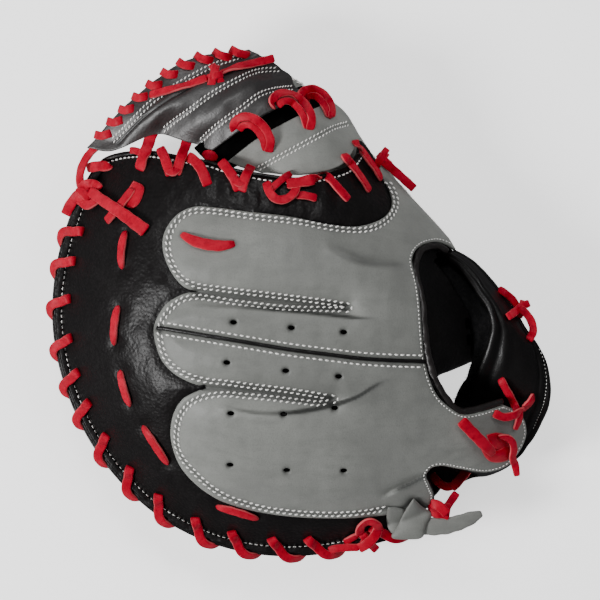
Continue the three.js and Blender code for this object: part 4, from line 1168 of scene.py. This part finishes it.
def seat(tree, plan):
    """A path in plan brought down on the ground, with the ground's normals. Places without
    ground are left out."""
    hits = [((x, y), drop(tree, x, y)) for x, y in plan]
    points = np.array([(*place, hit[0]) for place, hit in hits if hit])
    return points, np.array([hit[1] for _, hit in hits if hit])


def seat_on_wall(tree, turns, heights):
    """Places where level rays from outside meet a wall, with the wall's normals."""
    points, normals = [], []
    for turn, height in np.broadcast(turns, heights):
        way = np.array([math.cos(math.radians(turn)), math.sin(math.radians(turn)), 0.0])
        start = Vector((way[0] * 260, way[1] * 260, height))
        hit, normal, _, _ = tree.ray_cast(start, Vector(-way))
        if hit is not None:
            points.append(tuple(hit))
            normals.append(np.array(normal) * (1 if way @ np.array(normal) > 0 else -1))
    return np.array(points), np.array(normals)


def stitch(centre, along, up, length, radius):
    across = np.cross(up, along)
    turns = np.arange(STITCH_SIDES) / STITCH_SIDES * 2 * math.pi
    ring = np.outer(np.cos(turns), across) + np.outer(np.sin(turns), up)
    return np.vstack([
        centre + along * part * length / 2 + up * radius * (0.5 - 0.9 * part ** 2)
        + radius * size * ring for part, size in STITCH_RINGS])


def stitch_row(points, normals, phase=0.0, slant=0.0, pitch=4.0, length=2.6, radius=0.6):
    """Stitches along a seated path, evenly spaced in 3D."""
    along = lengths(points)
    marks = np.arange(pitch * (0.5 + phase), along[-1] - pitch * 0.4, pitch)
    centres, ups = sample(points, along, marks), sample(normals, along, marks)
    ways = sample(points, along, marks + 0.8) - sample(points, along, marks - 0.8)
    made = []
    for centre, way, up in zip(centres, ways, unit(ups)):
        way = unit(way - up * (way @ up))
        turn = math.radians(slant) + RNG.normal(0, 0.05)
        way = way * math.cos(turn) + np.cross(up, way) * math.sin(turn)
        made.append(stitch(centre, way, up, length * RNG.uniform(0.94, 1.06), radius))
    return made


def add_stitches(name, rows):
    pattern = tube_faces(len(STITCH_RINGS), STITCH_SIDES)
    verts, faces, _ = join([(verts, pattern, ()) for row in rows for verts in row])
    piece(name, verts, faces, THREAD, None)


def single_row(tree, path, distance=0.0, **values):
    return [stitch_row(*seat(tree, beside(path, distance)), **values)]


def double_row(tree, path, **values):
    rows = []
    for side, phase in ((1, 0.0), (-1, 0.5)):
        rows += single_row(tree, path, side * ROW_GAP, phase=phase, slant=ROW_SLANT, **values)
    return rows


def make_stitches():
    grey, black = ground("back_grey"), ground("back_black")
    rows = []
    for path in grey_seams:
        rows += double_row(grey, path)
    for distance in (BESIDE_PIPING, -BESIDE_PIPING):
        rows += single_row(grey, middle_seam[4:], distance)
    for turn in VALLEY_TURNS:
        rows += single_row(grey, photo_curve(turn, 1.0))
    rows += single_row(grey, photo_curve(OPENING_EDGE, 1.0), BINDING_INSET, **BINDING)
    rows += single_row(grey, photo_curve(TAB_EDGE, 1.0)[6:], BINDING_INSET, **BINDING)
    add_stitches("stitches_grey", rows)
    rim = beside_rim(np.arange(RIM_TURNS[0] + 4, RIM_TURNS[1] - 12, 0.5), RIM_INSET)[:, :2]
    rows = single_row(black, rim, **SHORT) + single_row(black, index_edge, INDEX_INSET, **SHORT)
    add_stitches("stitches_black", rows)
    web = ground("web_black")
    rows = [row for path in web_seams for row in double_row(web, path, **FINE)]
    add_stitches("stitches_web", rows)
    add_stitches("stitches_grey_web", double_row(ground("web_grey"), grey_web_seam, **FINE))
    start, end = (int(part * len(STRAP_GRID)) for part in (STRAP_ROW_START, STRAP_ROW_END))
    row = STRAP_GRID[start:end, STRAP_ROW_PLACE, :2]
    add_stitches("stitches_strap", single_row(ground("strap"), row, **FINEST))


def make_thumb_stitches():
    tree = ground("thumb_grey")
    along, up = np.arange(25.6, 106.5, 0.8), np.arange(19.5, 43.5, 1.0)
    rows = [stitch_row(*seat_on_wall(tree, along, height), phase, THUMB_SLANT)
            for height, phase in THUMB_LEVELS]
    rows += [stitch_row(*seat_on_wall(tree, turn, up), phase, THUMB_SLANT)
             for turn, phase in THUMB_UPRIGHTS]
    add_stitches("stitches_thumb", rows)


make_stitches()
make_thumb_stitches()


# Red laces

# Where a lace hangs free beside the leather at the heel
FREE_HEIGHT = 47.0
# Parts of a lace's width at which it feels the ground
FEELERS = (-0.38, 0.0, 0.38)
# A wrap's way round the rim: the share of its slant and its distance out from the body, with the
# height over the leather on top and then the height against the edge
WRAP_TOP = [(1.0, -7.2, -4.4), (1.0, -6.6, -2.0), (0.85, -4.6, 0.8), (0.5, -1.2, 0.7)]
WRAP_SIDE = [
    (0.1, 4.2, -0.9), (-0.35, 6.3, -2.9), (-0.9, 6.5, -5.8), (-1.35, 5.6, -8.8),
    (-1.7, 3.6, -11.6), (-1.95, 0.6, -14.2),
]
# A wrap's way over the web's edge: inward and up, from its hole to beneath the edge
WEB_WRAP = [(2.5, 2.4), (-2.0, 0.4), (-2.4, -3.4), (1.5, -5.6), (6, -5.4)]
WEB_WRAPS = 10
RIM_WRAP_WIDTH, WEB_WRAP_WIDTH = 6.2, 5.4
# A short stitch's way: the part of its length, and its lift
SHORT_STITCH = [(-0.02, -2.6), (0.07, -0.6), (0.3, 0.25), (0.7, 0.25), (0.93, -0.6), (1.02, -2.6)]


def soften(values, reach):
    """A row of values smoothed over a number of places each way."""
    kernel = bump(np.arange(-2 * reach, 2 * reach + 1), reach)
    return np.convolve(np.pad(values, 2 * reach, mode="edge"), kernel / kernel.sum(), mode="valid")


def strand(tree, points, width, roll=(0.0, 0.0), thickness=LACE_THICKNESS, taper=(1, 1)):
    """A lace over the ground. Its points are places in the photograph with a lift in millimetres,
    and a lift below zero takes it into a hole or under an edge. Roll turns it about its way, in
    degrees from end to end."""
    path = curve([(*at(x, y), lift) for x, y, lift in points], 0.9)
    count = len(path)
    along = np.gradient(path[:, :2], axis=0)
    along /= np.linalg.norm(along, axis=1)[:, None] + 1e-9
    height, normals = np.full(count, np.nan), np.tile(UP, (count, 1))
    for i, (x, y) in enumerate(along if tree else ()):
        across = np.array([y, -x])
        found = [drop(tree, *(path[i, :2] + across * share * width)) for share in FEELERS]
        if found[1]:
            normals[i] = found[1][1]
        heights = [hit[0] for hit in found if hit]
        if heights:
            height[i] = (np.mean(heights) + max(heights)) / 2
    known = ~np.isnan(height)
    if known.any():
        height = np.interp(np.arange(count), np.flatnonzero(known), height[known])
    else:
        height = np.full(count, FREE_HEIGHT)
    height = soften([height[max(0, i - 2):i + 3].max() for i in range(count)], 2)
    normals = unit(np.stack([soften(column, 4) for column in normals.T], axis=1))
    spine = np.column_stack([path[:, :2], height + path[:, 2] + thickness / 2])
    turn = np.radians(np.linspace(*roll, count))[:, None]
    side = np.cross(unit(np.gradient(spine, axis=0)), normals)
    ups = normals * np.cos(turn) + side * np.sin(turn)
    widths = width * np.interp(np.linspace(0, 1, count), np.linspace(0, 1, len(taper)), taper)
    widths *= 1 + 0.035 * np.sin(np.arange(count) * 0.7 + len(points))
    return band(spine, ups, widths, thickness)


def arch(tree, x, y, heading, half, rise, width, sweep=105.0):
    """One turn of a knot: a band that comes up on one side, crosses on top and goes down on the
    other. Half is half its span."""
    turns = np.radians(np.linspace(-sweep, sweep, 19))
    way = np.array([math.cos(math.radians(heading)), math.sin(math.radians(heading)), 0.0])
    middle = at(x, y)
    spine = (np.array([*middle, height_near(tree, *middle)])
             + np.outer(np.sin(turns) * half, way) + np.outer(np.cos(turns) * rise, UP))
    ups = unit(np.outer(np.sin(turns) / half, way) + np.outer(np.cos(turns) / rise, UP))
    return band(spine, ups, width, 1.9)


def flap(tree, corners, lift, bulge):
    """A cushioned leather flap with the given corners in the photograph's units."""
    outline = photo_curve([*corners, corners[0]], 1.2)[:-1]
    plan, triangles = fill(outline, 1.6)
    hits = [(x, y, drop(tree, x, y)) for x, y in plan]
    known = np.array([(x, y, 1, hit[0]) for x, y, hit in hits if hit])
    slope = np.linalg.lstsq(known[:, :3], known[:, 3], rcond=None)[0]
    base = np.maximum(np.column_stack([plan, np.ones(len(plan))]) @ slope, FREE_HEIGHT)
    inward = off(plan, closed(outline))
    verts = np.column_stack([plan, base + lift + bulge * (1 - np.exp(-inward / 3.5))])
    solid, faces = sheet(verts, np.tile(UP, (len(verts), 1)), triangles, 2.4)
    return solid, faces, on_sheet(bump(inward, 0.8, 0.92), solid, 0.7)


def lace(node, parts, material=RED, slot="red_lace", shade=0.0):
    verts, faces, edge = join(parts)
    piece("lace_" + node, verts, faces, material, slot, [node], edge=edge, shade=shade)


def run(width, *points, over=None, **values):
    """A strand for tie(). Its ground is the lace's, or else the pieces that it is over."""
    return lambda tree: strand(tree if over is None else ground(*over), points, width, **values)


def hoop(*values):
    """An arch for tie()."""
    return lambda tree: arch(tree, *values)


def pad(lift, bulge, *corners):
    """A flap for tie()."""
    return lambda tree: flap(tree, corners, lift, bulge)


def tie(node, names, *parts, **values):
    """A lace of several parts over the named pieces."""
    tree = ground(*names)
    lace(node, [part(tree) for part in parts], **values)


def make_short_stitches():
    rows = [("back_black", 5.6, PAD_STITCHES), ("back_grey", 7.2, [LOBE_STITCH])]
    for under, width, stitches in rows:
        for name, start, end, sag in stitches:
            start, way = np.array(start, float), np.subtract(end, start)
            side = unit(np.array([-way[1], way[0]], float)) * sag
            points = [(*(start + way * part + side * 4 * part * (1 - part)), lift)
                      for part, lift in SHORT_STITCH]
            tie(name, [under], run(width, *points, roll=(-6, 8),
                                   taper=(0.5, 0.85, 1, 1, 1, 0.85, 0.5)))


def make_rim_wraps():
    for number, turn in enumerate(wrap_turns):
        slant = 3.0 if number < 8 else 2.6
        points = []
        for share, out, raised in WRAP_TOP:
            place = beside_rim(turn - slant * share, out)[:, :2]
            points.append([*place[0], dome(place)[0] + raised])
        for share, out, height in WRAP_SIDE:
            points.append(beside_rim(turn - slant * share, out, height)[0])
        path = curve(points, 0.9)
        middle = beside_rim(turn - slant / 2, 0.5, -6)[0]
        lace("rim_lace_%02d" % (number + 1), [band(path, path - middle, RIM_WRAP_WIDTH, 2.0)])


def make_web_wraps():
    grid = net(WEB_UPPER, WEB_NET[0], 160)
    last = grid.shape[1] - 1
    edge, second = grid[0], grid[10]
    tree = ground("web_black")
    for number in range(WEB_WRAPS):
        spot = int((0.09 + 0.84 * number / (WEB_WRAPS - 1)) * last)
        inward = unit(second[spot] - edge[spot])
        hole = edge[min(spot + 4, last)] + inward * 7.5
        top = drop(tree, *hole[:2])
        hole[2] = top[0] if top else hole[2]
        over_edge = [edge[spot] + inward * away + UP * lift for away, lift in WEB_WRAP]
        halfway = (hole + edge[spot] + inward * 2.5) / 2 + UP * 2.2
        path = curve([hole - UP * 2.0, hole - inward * 0.8 + UP * 0.2, halfway, *over_edge], 0.9)
        middle = edge[spot] + inward * 3 - UP * 1.5
        lace("web_lace_%02d" % (number + 1), [band(path, path - middle, WEB_WRAP_WIDTH, 2.0)])


make_short_stitches()
make_rim_wraps()
make_web_wraps()

# Across the gap between the fingers and the web
FINGER_WEB = ("back_black", "web_black")
tie("gap_lace_1", FINGER_WEB,
    run(4.6, (131, 151, -1.6), (135, 151, 0.1), (141, 153, 0.3)),
    run(7.6, (156, 127, -5.5), (152, 136, -4.5), (148, 148, -0.6), (143, 161, 0.7),
        (141, 171, -1.6)))
tie("gap_lace_2", FINGER_WEB,
    run(6.6, (189, 138, -5.5), (186, 148, -3.6), (182, 160, 0.6), (178, 176, -1.2)),
    run(6.4, (161, 149, -3), (165, 157, 0.7), (168.5, 166, 1.0), (172, 177, -1.2)),
    run(6.0, (167.5, 170, -0.6), (175, 173.5, 1.3), (182, 169, -0.6), taper=(0.8, 1, 0.8)))
tie("gap_lace_3", FINGER_WEB,
    run(6.8, (189, 158, -4.0), (194, 161, -0.4), (200, 167, 1.0), (205, 176, 0.8),
        (209, 187, -1.6)))
tie("gap_lace_4", ("back_black", "back_grey", "web_grey"),
    run(6.6, (204, 154.5, -1.2), (208, 156, 0.4), (213.5, 158, 0.4), (217.5, 160, -1.2),
        over=["web_lining"], taper=(0.5, 1, 1, 0.5)),
    run(6.2, (253, 165, -4.5), (250, 171, -0.4), (246, 180, 0.9), (242.5, 193, -1.4)),
    run(6.4, (222, 163, -4), (227, 169, 0.4), (234, 179, 1.0), (240, 192, -1.2)),
    run(6.0, (233.5, 182, -0.6), (241, 184.5, 1.3), (248, 180, -0.6), taper=(0.7, 1, 0.7)))

# The loops that join the webs: two strands each, moved and scaled from one place
LOOP_OUTER = [
    (2, 1, -4), (0.5, -4, 0.4), (5, -10.5, 2.4), (15, -12.5, 3.8), (25, -8, 3.8), (33, 1, 2.8),
    (37, 12, 1.2), (35, 21.5, -1.8),
]
LOOP_INNER = [
    (6, 0, -1.5), (10, -4, 0.8), (17, -4.5, 2.4), (24, 1, 2.4), (29, 9, 1.4), (32.5, 20, -1.6),
]
# name, place in the photograph's units, and size
WEB_LOOPS = [
    ("web_loop_1", 234, 132, 1.0), ("web_loop_2", 272, 108.5, 1.07), ("web_loop_3", 300, 101, 0.86),
]
for name, x, y, size in WEB_LOOPS:
    outer, inner = ([(x + right * size, y + low * size, lift) for right, low, lift in loop]
                    for loop in (LOOP_OUTER, LOOP_INNER))
    tie(name, ("web_black", "web_grey"), run(5.6, *outer, roll=(30, -10), thickness=2.4),
        run(4.6, *inner, roll=(24, 0)))

# Between the index finger and the thumb
CROTCH = ("back_black", "back_grey", "web_grey", "thumb_grey")
tie("crotch_lace_1", CROTCH,
    run(4.6, (291, 175, 0.2), (284, 180, 1.0), (276, 187, 1.0), (271, 192, 0.2)),
    run(5.6, (267, 184, -0.6), (270, 194, 1.6), (277, 201, 2.0), (286, 201, 2.2), (294, 195, 1.8),
        (297, 187, 0.4), roll=(20, -20)),
    run(7.2, (287, 186, 0.6), (300, 184, 1.5), (315, 181, 1.5), (328, 179, 1.3)),
    run(5.6, (321, 174, 0.6), (329, 180, 1.9), (338, 190, 1.2), (348, 201, -1.4)),
    run(5.0, (295, 197, -1.4), (303, 197, 0.5), (309, 198, 0.5), (316, 200, -1.4)))
tie("crotch_lace_2", CROTCH,
    run(5.6, (343, 156, -1.6), (349, 163, 1.4), (356, 172, 1.6), (363, 182, 1.0),
        (369, 192, -1.6)))
tie("crotch_knot", CROTCH,
    run(5.8, (354, 142, -1.8), (360, 149, 1.8), (368, 160, 2.2), (376, 171, 1.6),
        (381, 180, -1.4)),
    run(5.8, (382, 161, 1.4), (393, 170, 1.0), (403, 179, 0.6), (414, 189, 0.5)),
    run(4.6, (377, 163, 1.6), (382, 156, 3.0), (387, 149, 2.2)),
    hoop(381, 160, 50, 5.2, 4.0, 4.8), hoop(384, 160, -40, 4.6, 4.8, 4.4))

# On the web and at its tip
tie("web_knot", ["web_black"],
    run(5.0, (151, 96, -2.2), (156, 95, 0.2), (172, 91, 0.9), (190, 86, 1.0), (208, 80, 1.6)),
    run(5.4, (220, 75, 1.6), (236, 69, 1.0), (256, 64, 0.8), (274, 59, 0.4)),
    hoop(214, 79, 76, 7.4, 4.6, 5.2, 95), hoop(218, 77, 118, 7.2, 5.2, 4.8, 92),
    hoop(216, 78, 15, 5.4, 5.6, 4.4, 60))
TIP = ("back_black", "web_black", "rim_layers")
tie("tip_stub", TIP,
    run(6.8, (87, 168, -0.6), (92, 167, 0.8), (102, 166, 0.9), (108, 167, 0.2), (112, 167, -1.6),
        taper=(0.9, 1, 1, 0.6)))
tie("tip_knot", TIP,
    run(5.2, (99, 146, -5.0), (92, 151, -2.2), (84, 162, 1.0), (80, 174, 2.2), (80, 187, 3.0),
        roll=(25, 0)),
    run(6.4, (134, 190, 0.2), (129, 197, 1.2), (121, 207, 1.8), (108, 222, 0.4), roll=(6, -8)),
    pad(1.4, 1.5, (135, 182), (145, 188), (144, 197), (140, 205), (133, 209), (124, 203),
        (129, 192)),
    run(7.6, (90, 191, 3.4), (104, 201, 3.4), (122, 213, 3.2), (148, 232, 0.9),
        taper=(0.86, 0.95, 1.05, 1.16)),
    run(7.0, (84, 191, 2.8), (76, 197, 2.6), (69, 206, 0.8), (65, 214, -3.0)),
    run(6.4, (79, 199, 1.4), (88, 205, 2.4), (99, 200, 1.0)),
    run(5.6, (79, 189, 2.2), (86, 184, 3.6), (94, 184, 3.2), (101, 189, 1.0), roll=(20, 0)),
    hoop(85, 194, 40, 6.8, 5.0, 5.4, 100), hoop(86, 196, -50, 7.0, 5.6, 5.6, 95),
    hoop(88, 200, 5, 6.6, 4.2, 4.6, 100))

# At the strap and the tab
tie("strap_tie_upper", ["strap"],
    run(4.8, (498, 289, -3.5), (504, 293, 0.6), (511, 299, 1.4), (517, 308, 0.6), roll=(10, -20)),
    run(5.2, (505, 317, 1.4), (513, 312, 2.4), (521, 306, 2.6), (528, 303, 2.2)),
    run(5.2, (518, 308, 1.0), (525, 314, 2.8), (530, 322, 3.0), (531.5, 331, 1.8),
        (527, 340, -1.6), roll=(0, 25)),
    hoop(520, 309, 75, 5.0, 4.4, 4.6, 100))
tie("strap_tie_lower", ("strap", "back_grey", "opening_binding"),
    run(5.0, (499, 378, -1.8), (503, 386, 0.8), (509, 396, 2.0), (514, 406, 1.6), (517, 414, 0.6)),
    run(5.4, (492, 412, 0.4), (502, 416, 1.8), (513, 414, 3.4), (522, 408, 3.6), (529, 401, 1.6),
        (532, 395, -1.6), roll=(-10, 20)),
    run(5.0, (518, 410, 1.4), (518, 418, 1.2), (514, 429, 0.4), taper=(1, 1, 0.7)))
TAB = ("back_grey", "rim_layers")
tie("tab_knot", TAB,
    pad(0.4, 2.2, (485, 434), (495, 432), (505, 434.5), (512, 440), (513, 448), (504, 452),
        (492, 449)),
    pad(1.8, 2.4, (479, 445), (484, 455), (490, 460.5), (500, 461.5), (508, 459), (511.5, 452),
        (510, 446), (503, 447), (496, 450), (487, 448)),
    run(7.4, (459, 419, 0.4), (468, 428.5, 0.8), (478, 438.5, 2.2), (488, 448.5, 3.4),
        (492, 453, 2.0), taper=(1, 1, 1, 1, 0.7)),
    run(4.8, (497, 436, 0.6), (505, 436.5, 2.2), (511, 441, 3.4), (513, 449, 3.6), (512, 457, 3.0),
        (515, 465, 1.4), (517, 476, 0.4), roll=(16, 0), taper=(0.7, 0.9, 1, 1, 1, 1.1, 0.8)))

# At the rim's end and the heel
tie("rim_knot", ("back_black", "rim_layers", "back_grey"),
    run(5.0, (329, 551, -1.0), (336, 549, 0.6), (347, 548, 1.2), (359, 548, 1.6)),
    run(4.8, (345, 543, -0.6), (351, 539, 0.8), (358, 535, 0.6)),
    run(5.6, (359, 535, 0.6), (361, 526, 2.4), (369, 521, 3.0), (377, 525, 2.6), (380, 533, 0.8),
        roll=(15, -15)),
    run(6.6, (379, 527, 1.6), (374, 537, 4.4), (366, 545, 4.0), (359, 549, 1.4)),
    run(5.4, (362, 534, 2.0), (369, 543, 2.6), (377, 551, 0.2)),
    hoop(367, 538, 60, 5.6, 3.6, 5.0, 95))
tie("heel_lace", (),
    run(5.4, (432, 475, -14.5), (439, 483, -12.6), (447, 487.5, -12.4), (457, 486, -12.2),
        roll=(0, 20)),
    run(6.4, (452, 489, -12.2), (457, 484, -11.6), (463, 477, -11.4), (470, 468, -12.8),
        roll=(10, -25)))
tie("heel_knot", TAB,
    run(10.4, (428, 508, -4.4), (438, 510, -3.4), (450, 512, -3.6)),
    run(5.2, (441, 513, -1.0), (447, 507, -0.4), (452, 500, -1.2), (457, 493, -2.4)),
    run(6.4, (431, 503, -1.8), (438, 505, -0.4), (447, 514, -1.4)))
tie("heel_tie", TAB,
    run(12.0, (410, 524, 0.2), (418, 525, 0.4), (430, 526.5, 0.6), (445, 526, 0.8),
        (458, 523, 0.8), (469, 519, 0.6), (477, 515.5, 0.4), (482, 513.5, 0.2), over=(),
        roll=(0, 10), thickness=2.6, taper=(0.9, 1.0, 0.97, 0.95, 0.92, 0.85, 0.8, 0.68, 0.3)),
    pad(1.6, 1.0, (388, 507), (397, 507), (405, 511), (402, 522), (395, 534), (389, 529),
        (387, 518)),
    pad(4.4, 2.2, (413, 498), (421, 506), (431, 514), (426, 525), (422, 537), (408, 539),
        (392, 537), (398, 526), (405, 511)),
    material=GREY, slot="grey_leather", shade=0.13)


# Floor, light and camera, in metres

FLOOR_HALF, FLOOR_HEIGHT = 3.0, -0.0005
CAMERA_HEIGHT, SENSOR = 3.2, 36
# The height at which the photograph's frame has its true size
FRAME_HEIGHT = 0.05


def make_floor():
    paint = Paint("pale_floor", (0.86, 0.86, 0.86), 0.2, 0.9)
    paint.tint(paint.noise(80, 2), 0.3, 0.8, (0.84, 0.84, 0.845), 0.5)
    paint.shader.inputs["Emission Color"].default_value = (1, 1, 1, 1)
    paint.shader.inputs["Emission Strength"].default_value = 1.2
    mesh = bpy.data.meshes.new("floor")
    corners = [(x * FLOOR_HALF, y * FLOOR_HALF, FLOOR_HEIGHT)
               for x, y in ((-1, -1), (1, -1), (1, 1), (-1, 1))]
    mesh.from_pydata(corners, [], [(0, 1, 2, 3)])
    mesh.materials.append(paint.done())
    floor = add_object("floor", mesh)
    floor.visible_glossy = False


def light(name, place, size, power, gloss=True):
    lamp = bpy.data.lights.new(name, "AREA")
    give(lamp, shape="DISK", size=size, energy=power)
    way = Vector((0, 0, FRAME_HEIGHT)) - Vector(place)
    give(add_object(name, lamp), location=place, visible_glossy=gloss,
         rotation_euler=way.to_track_quat("-Z", "Y").to_euler())


def make_world():
    world = bpy.data.worlds.new("studio")
    world.use_nodes = True
    background = world.node_tree.nodes["Background"]
    background.inputs[0].default_value = (0.93, 0.95, 1.0, 1)
    background.inputs[1].default_value = 0.12
    bpy.context.scene.world = world


def make_camera():
    camera = bpy.data.cameras.new("camera")
    frame_width = 2 * MIDDLE * UNIT / METRE
    lens = SENSOR * (CAMERA_HEIGHT - FRAME_HEIGHT) / frame_width
    give(camera, sensor_width=SENSOR, lens=lens, clip_end=20)
    obj = add_object("camera", camera)
    obj.location = (PLAN_SHIFT[0] / METRE, PLAN_SHIFT[1] / METRE, CAMERA_HEIGHT)
    bpy.context.scene.camera = obj


make_floor()
light("key", (-1.45, -0.5, 1.3), size=0.6, power=46)
light("fill", (0.9, 0.7, 1.6), size=1.0, power=11, gloss=False)
light("top", (-0.3, 1.25, 1.75), size=0.6, power=14)
make_world()
make_camera()
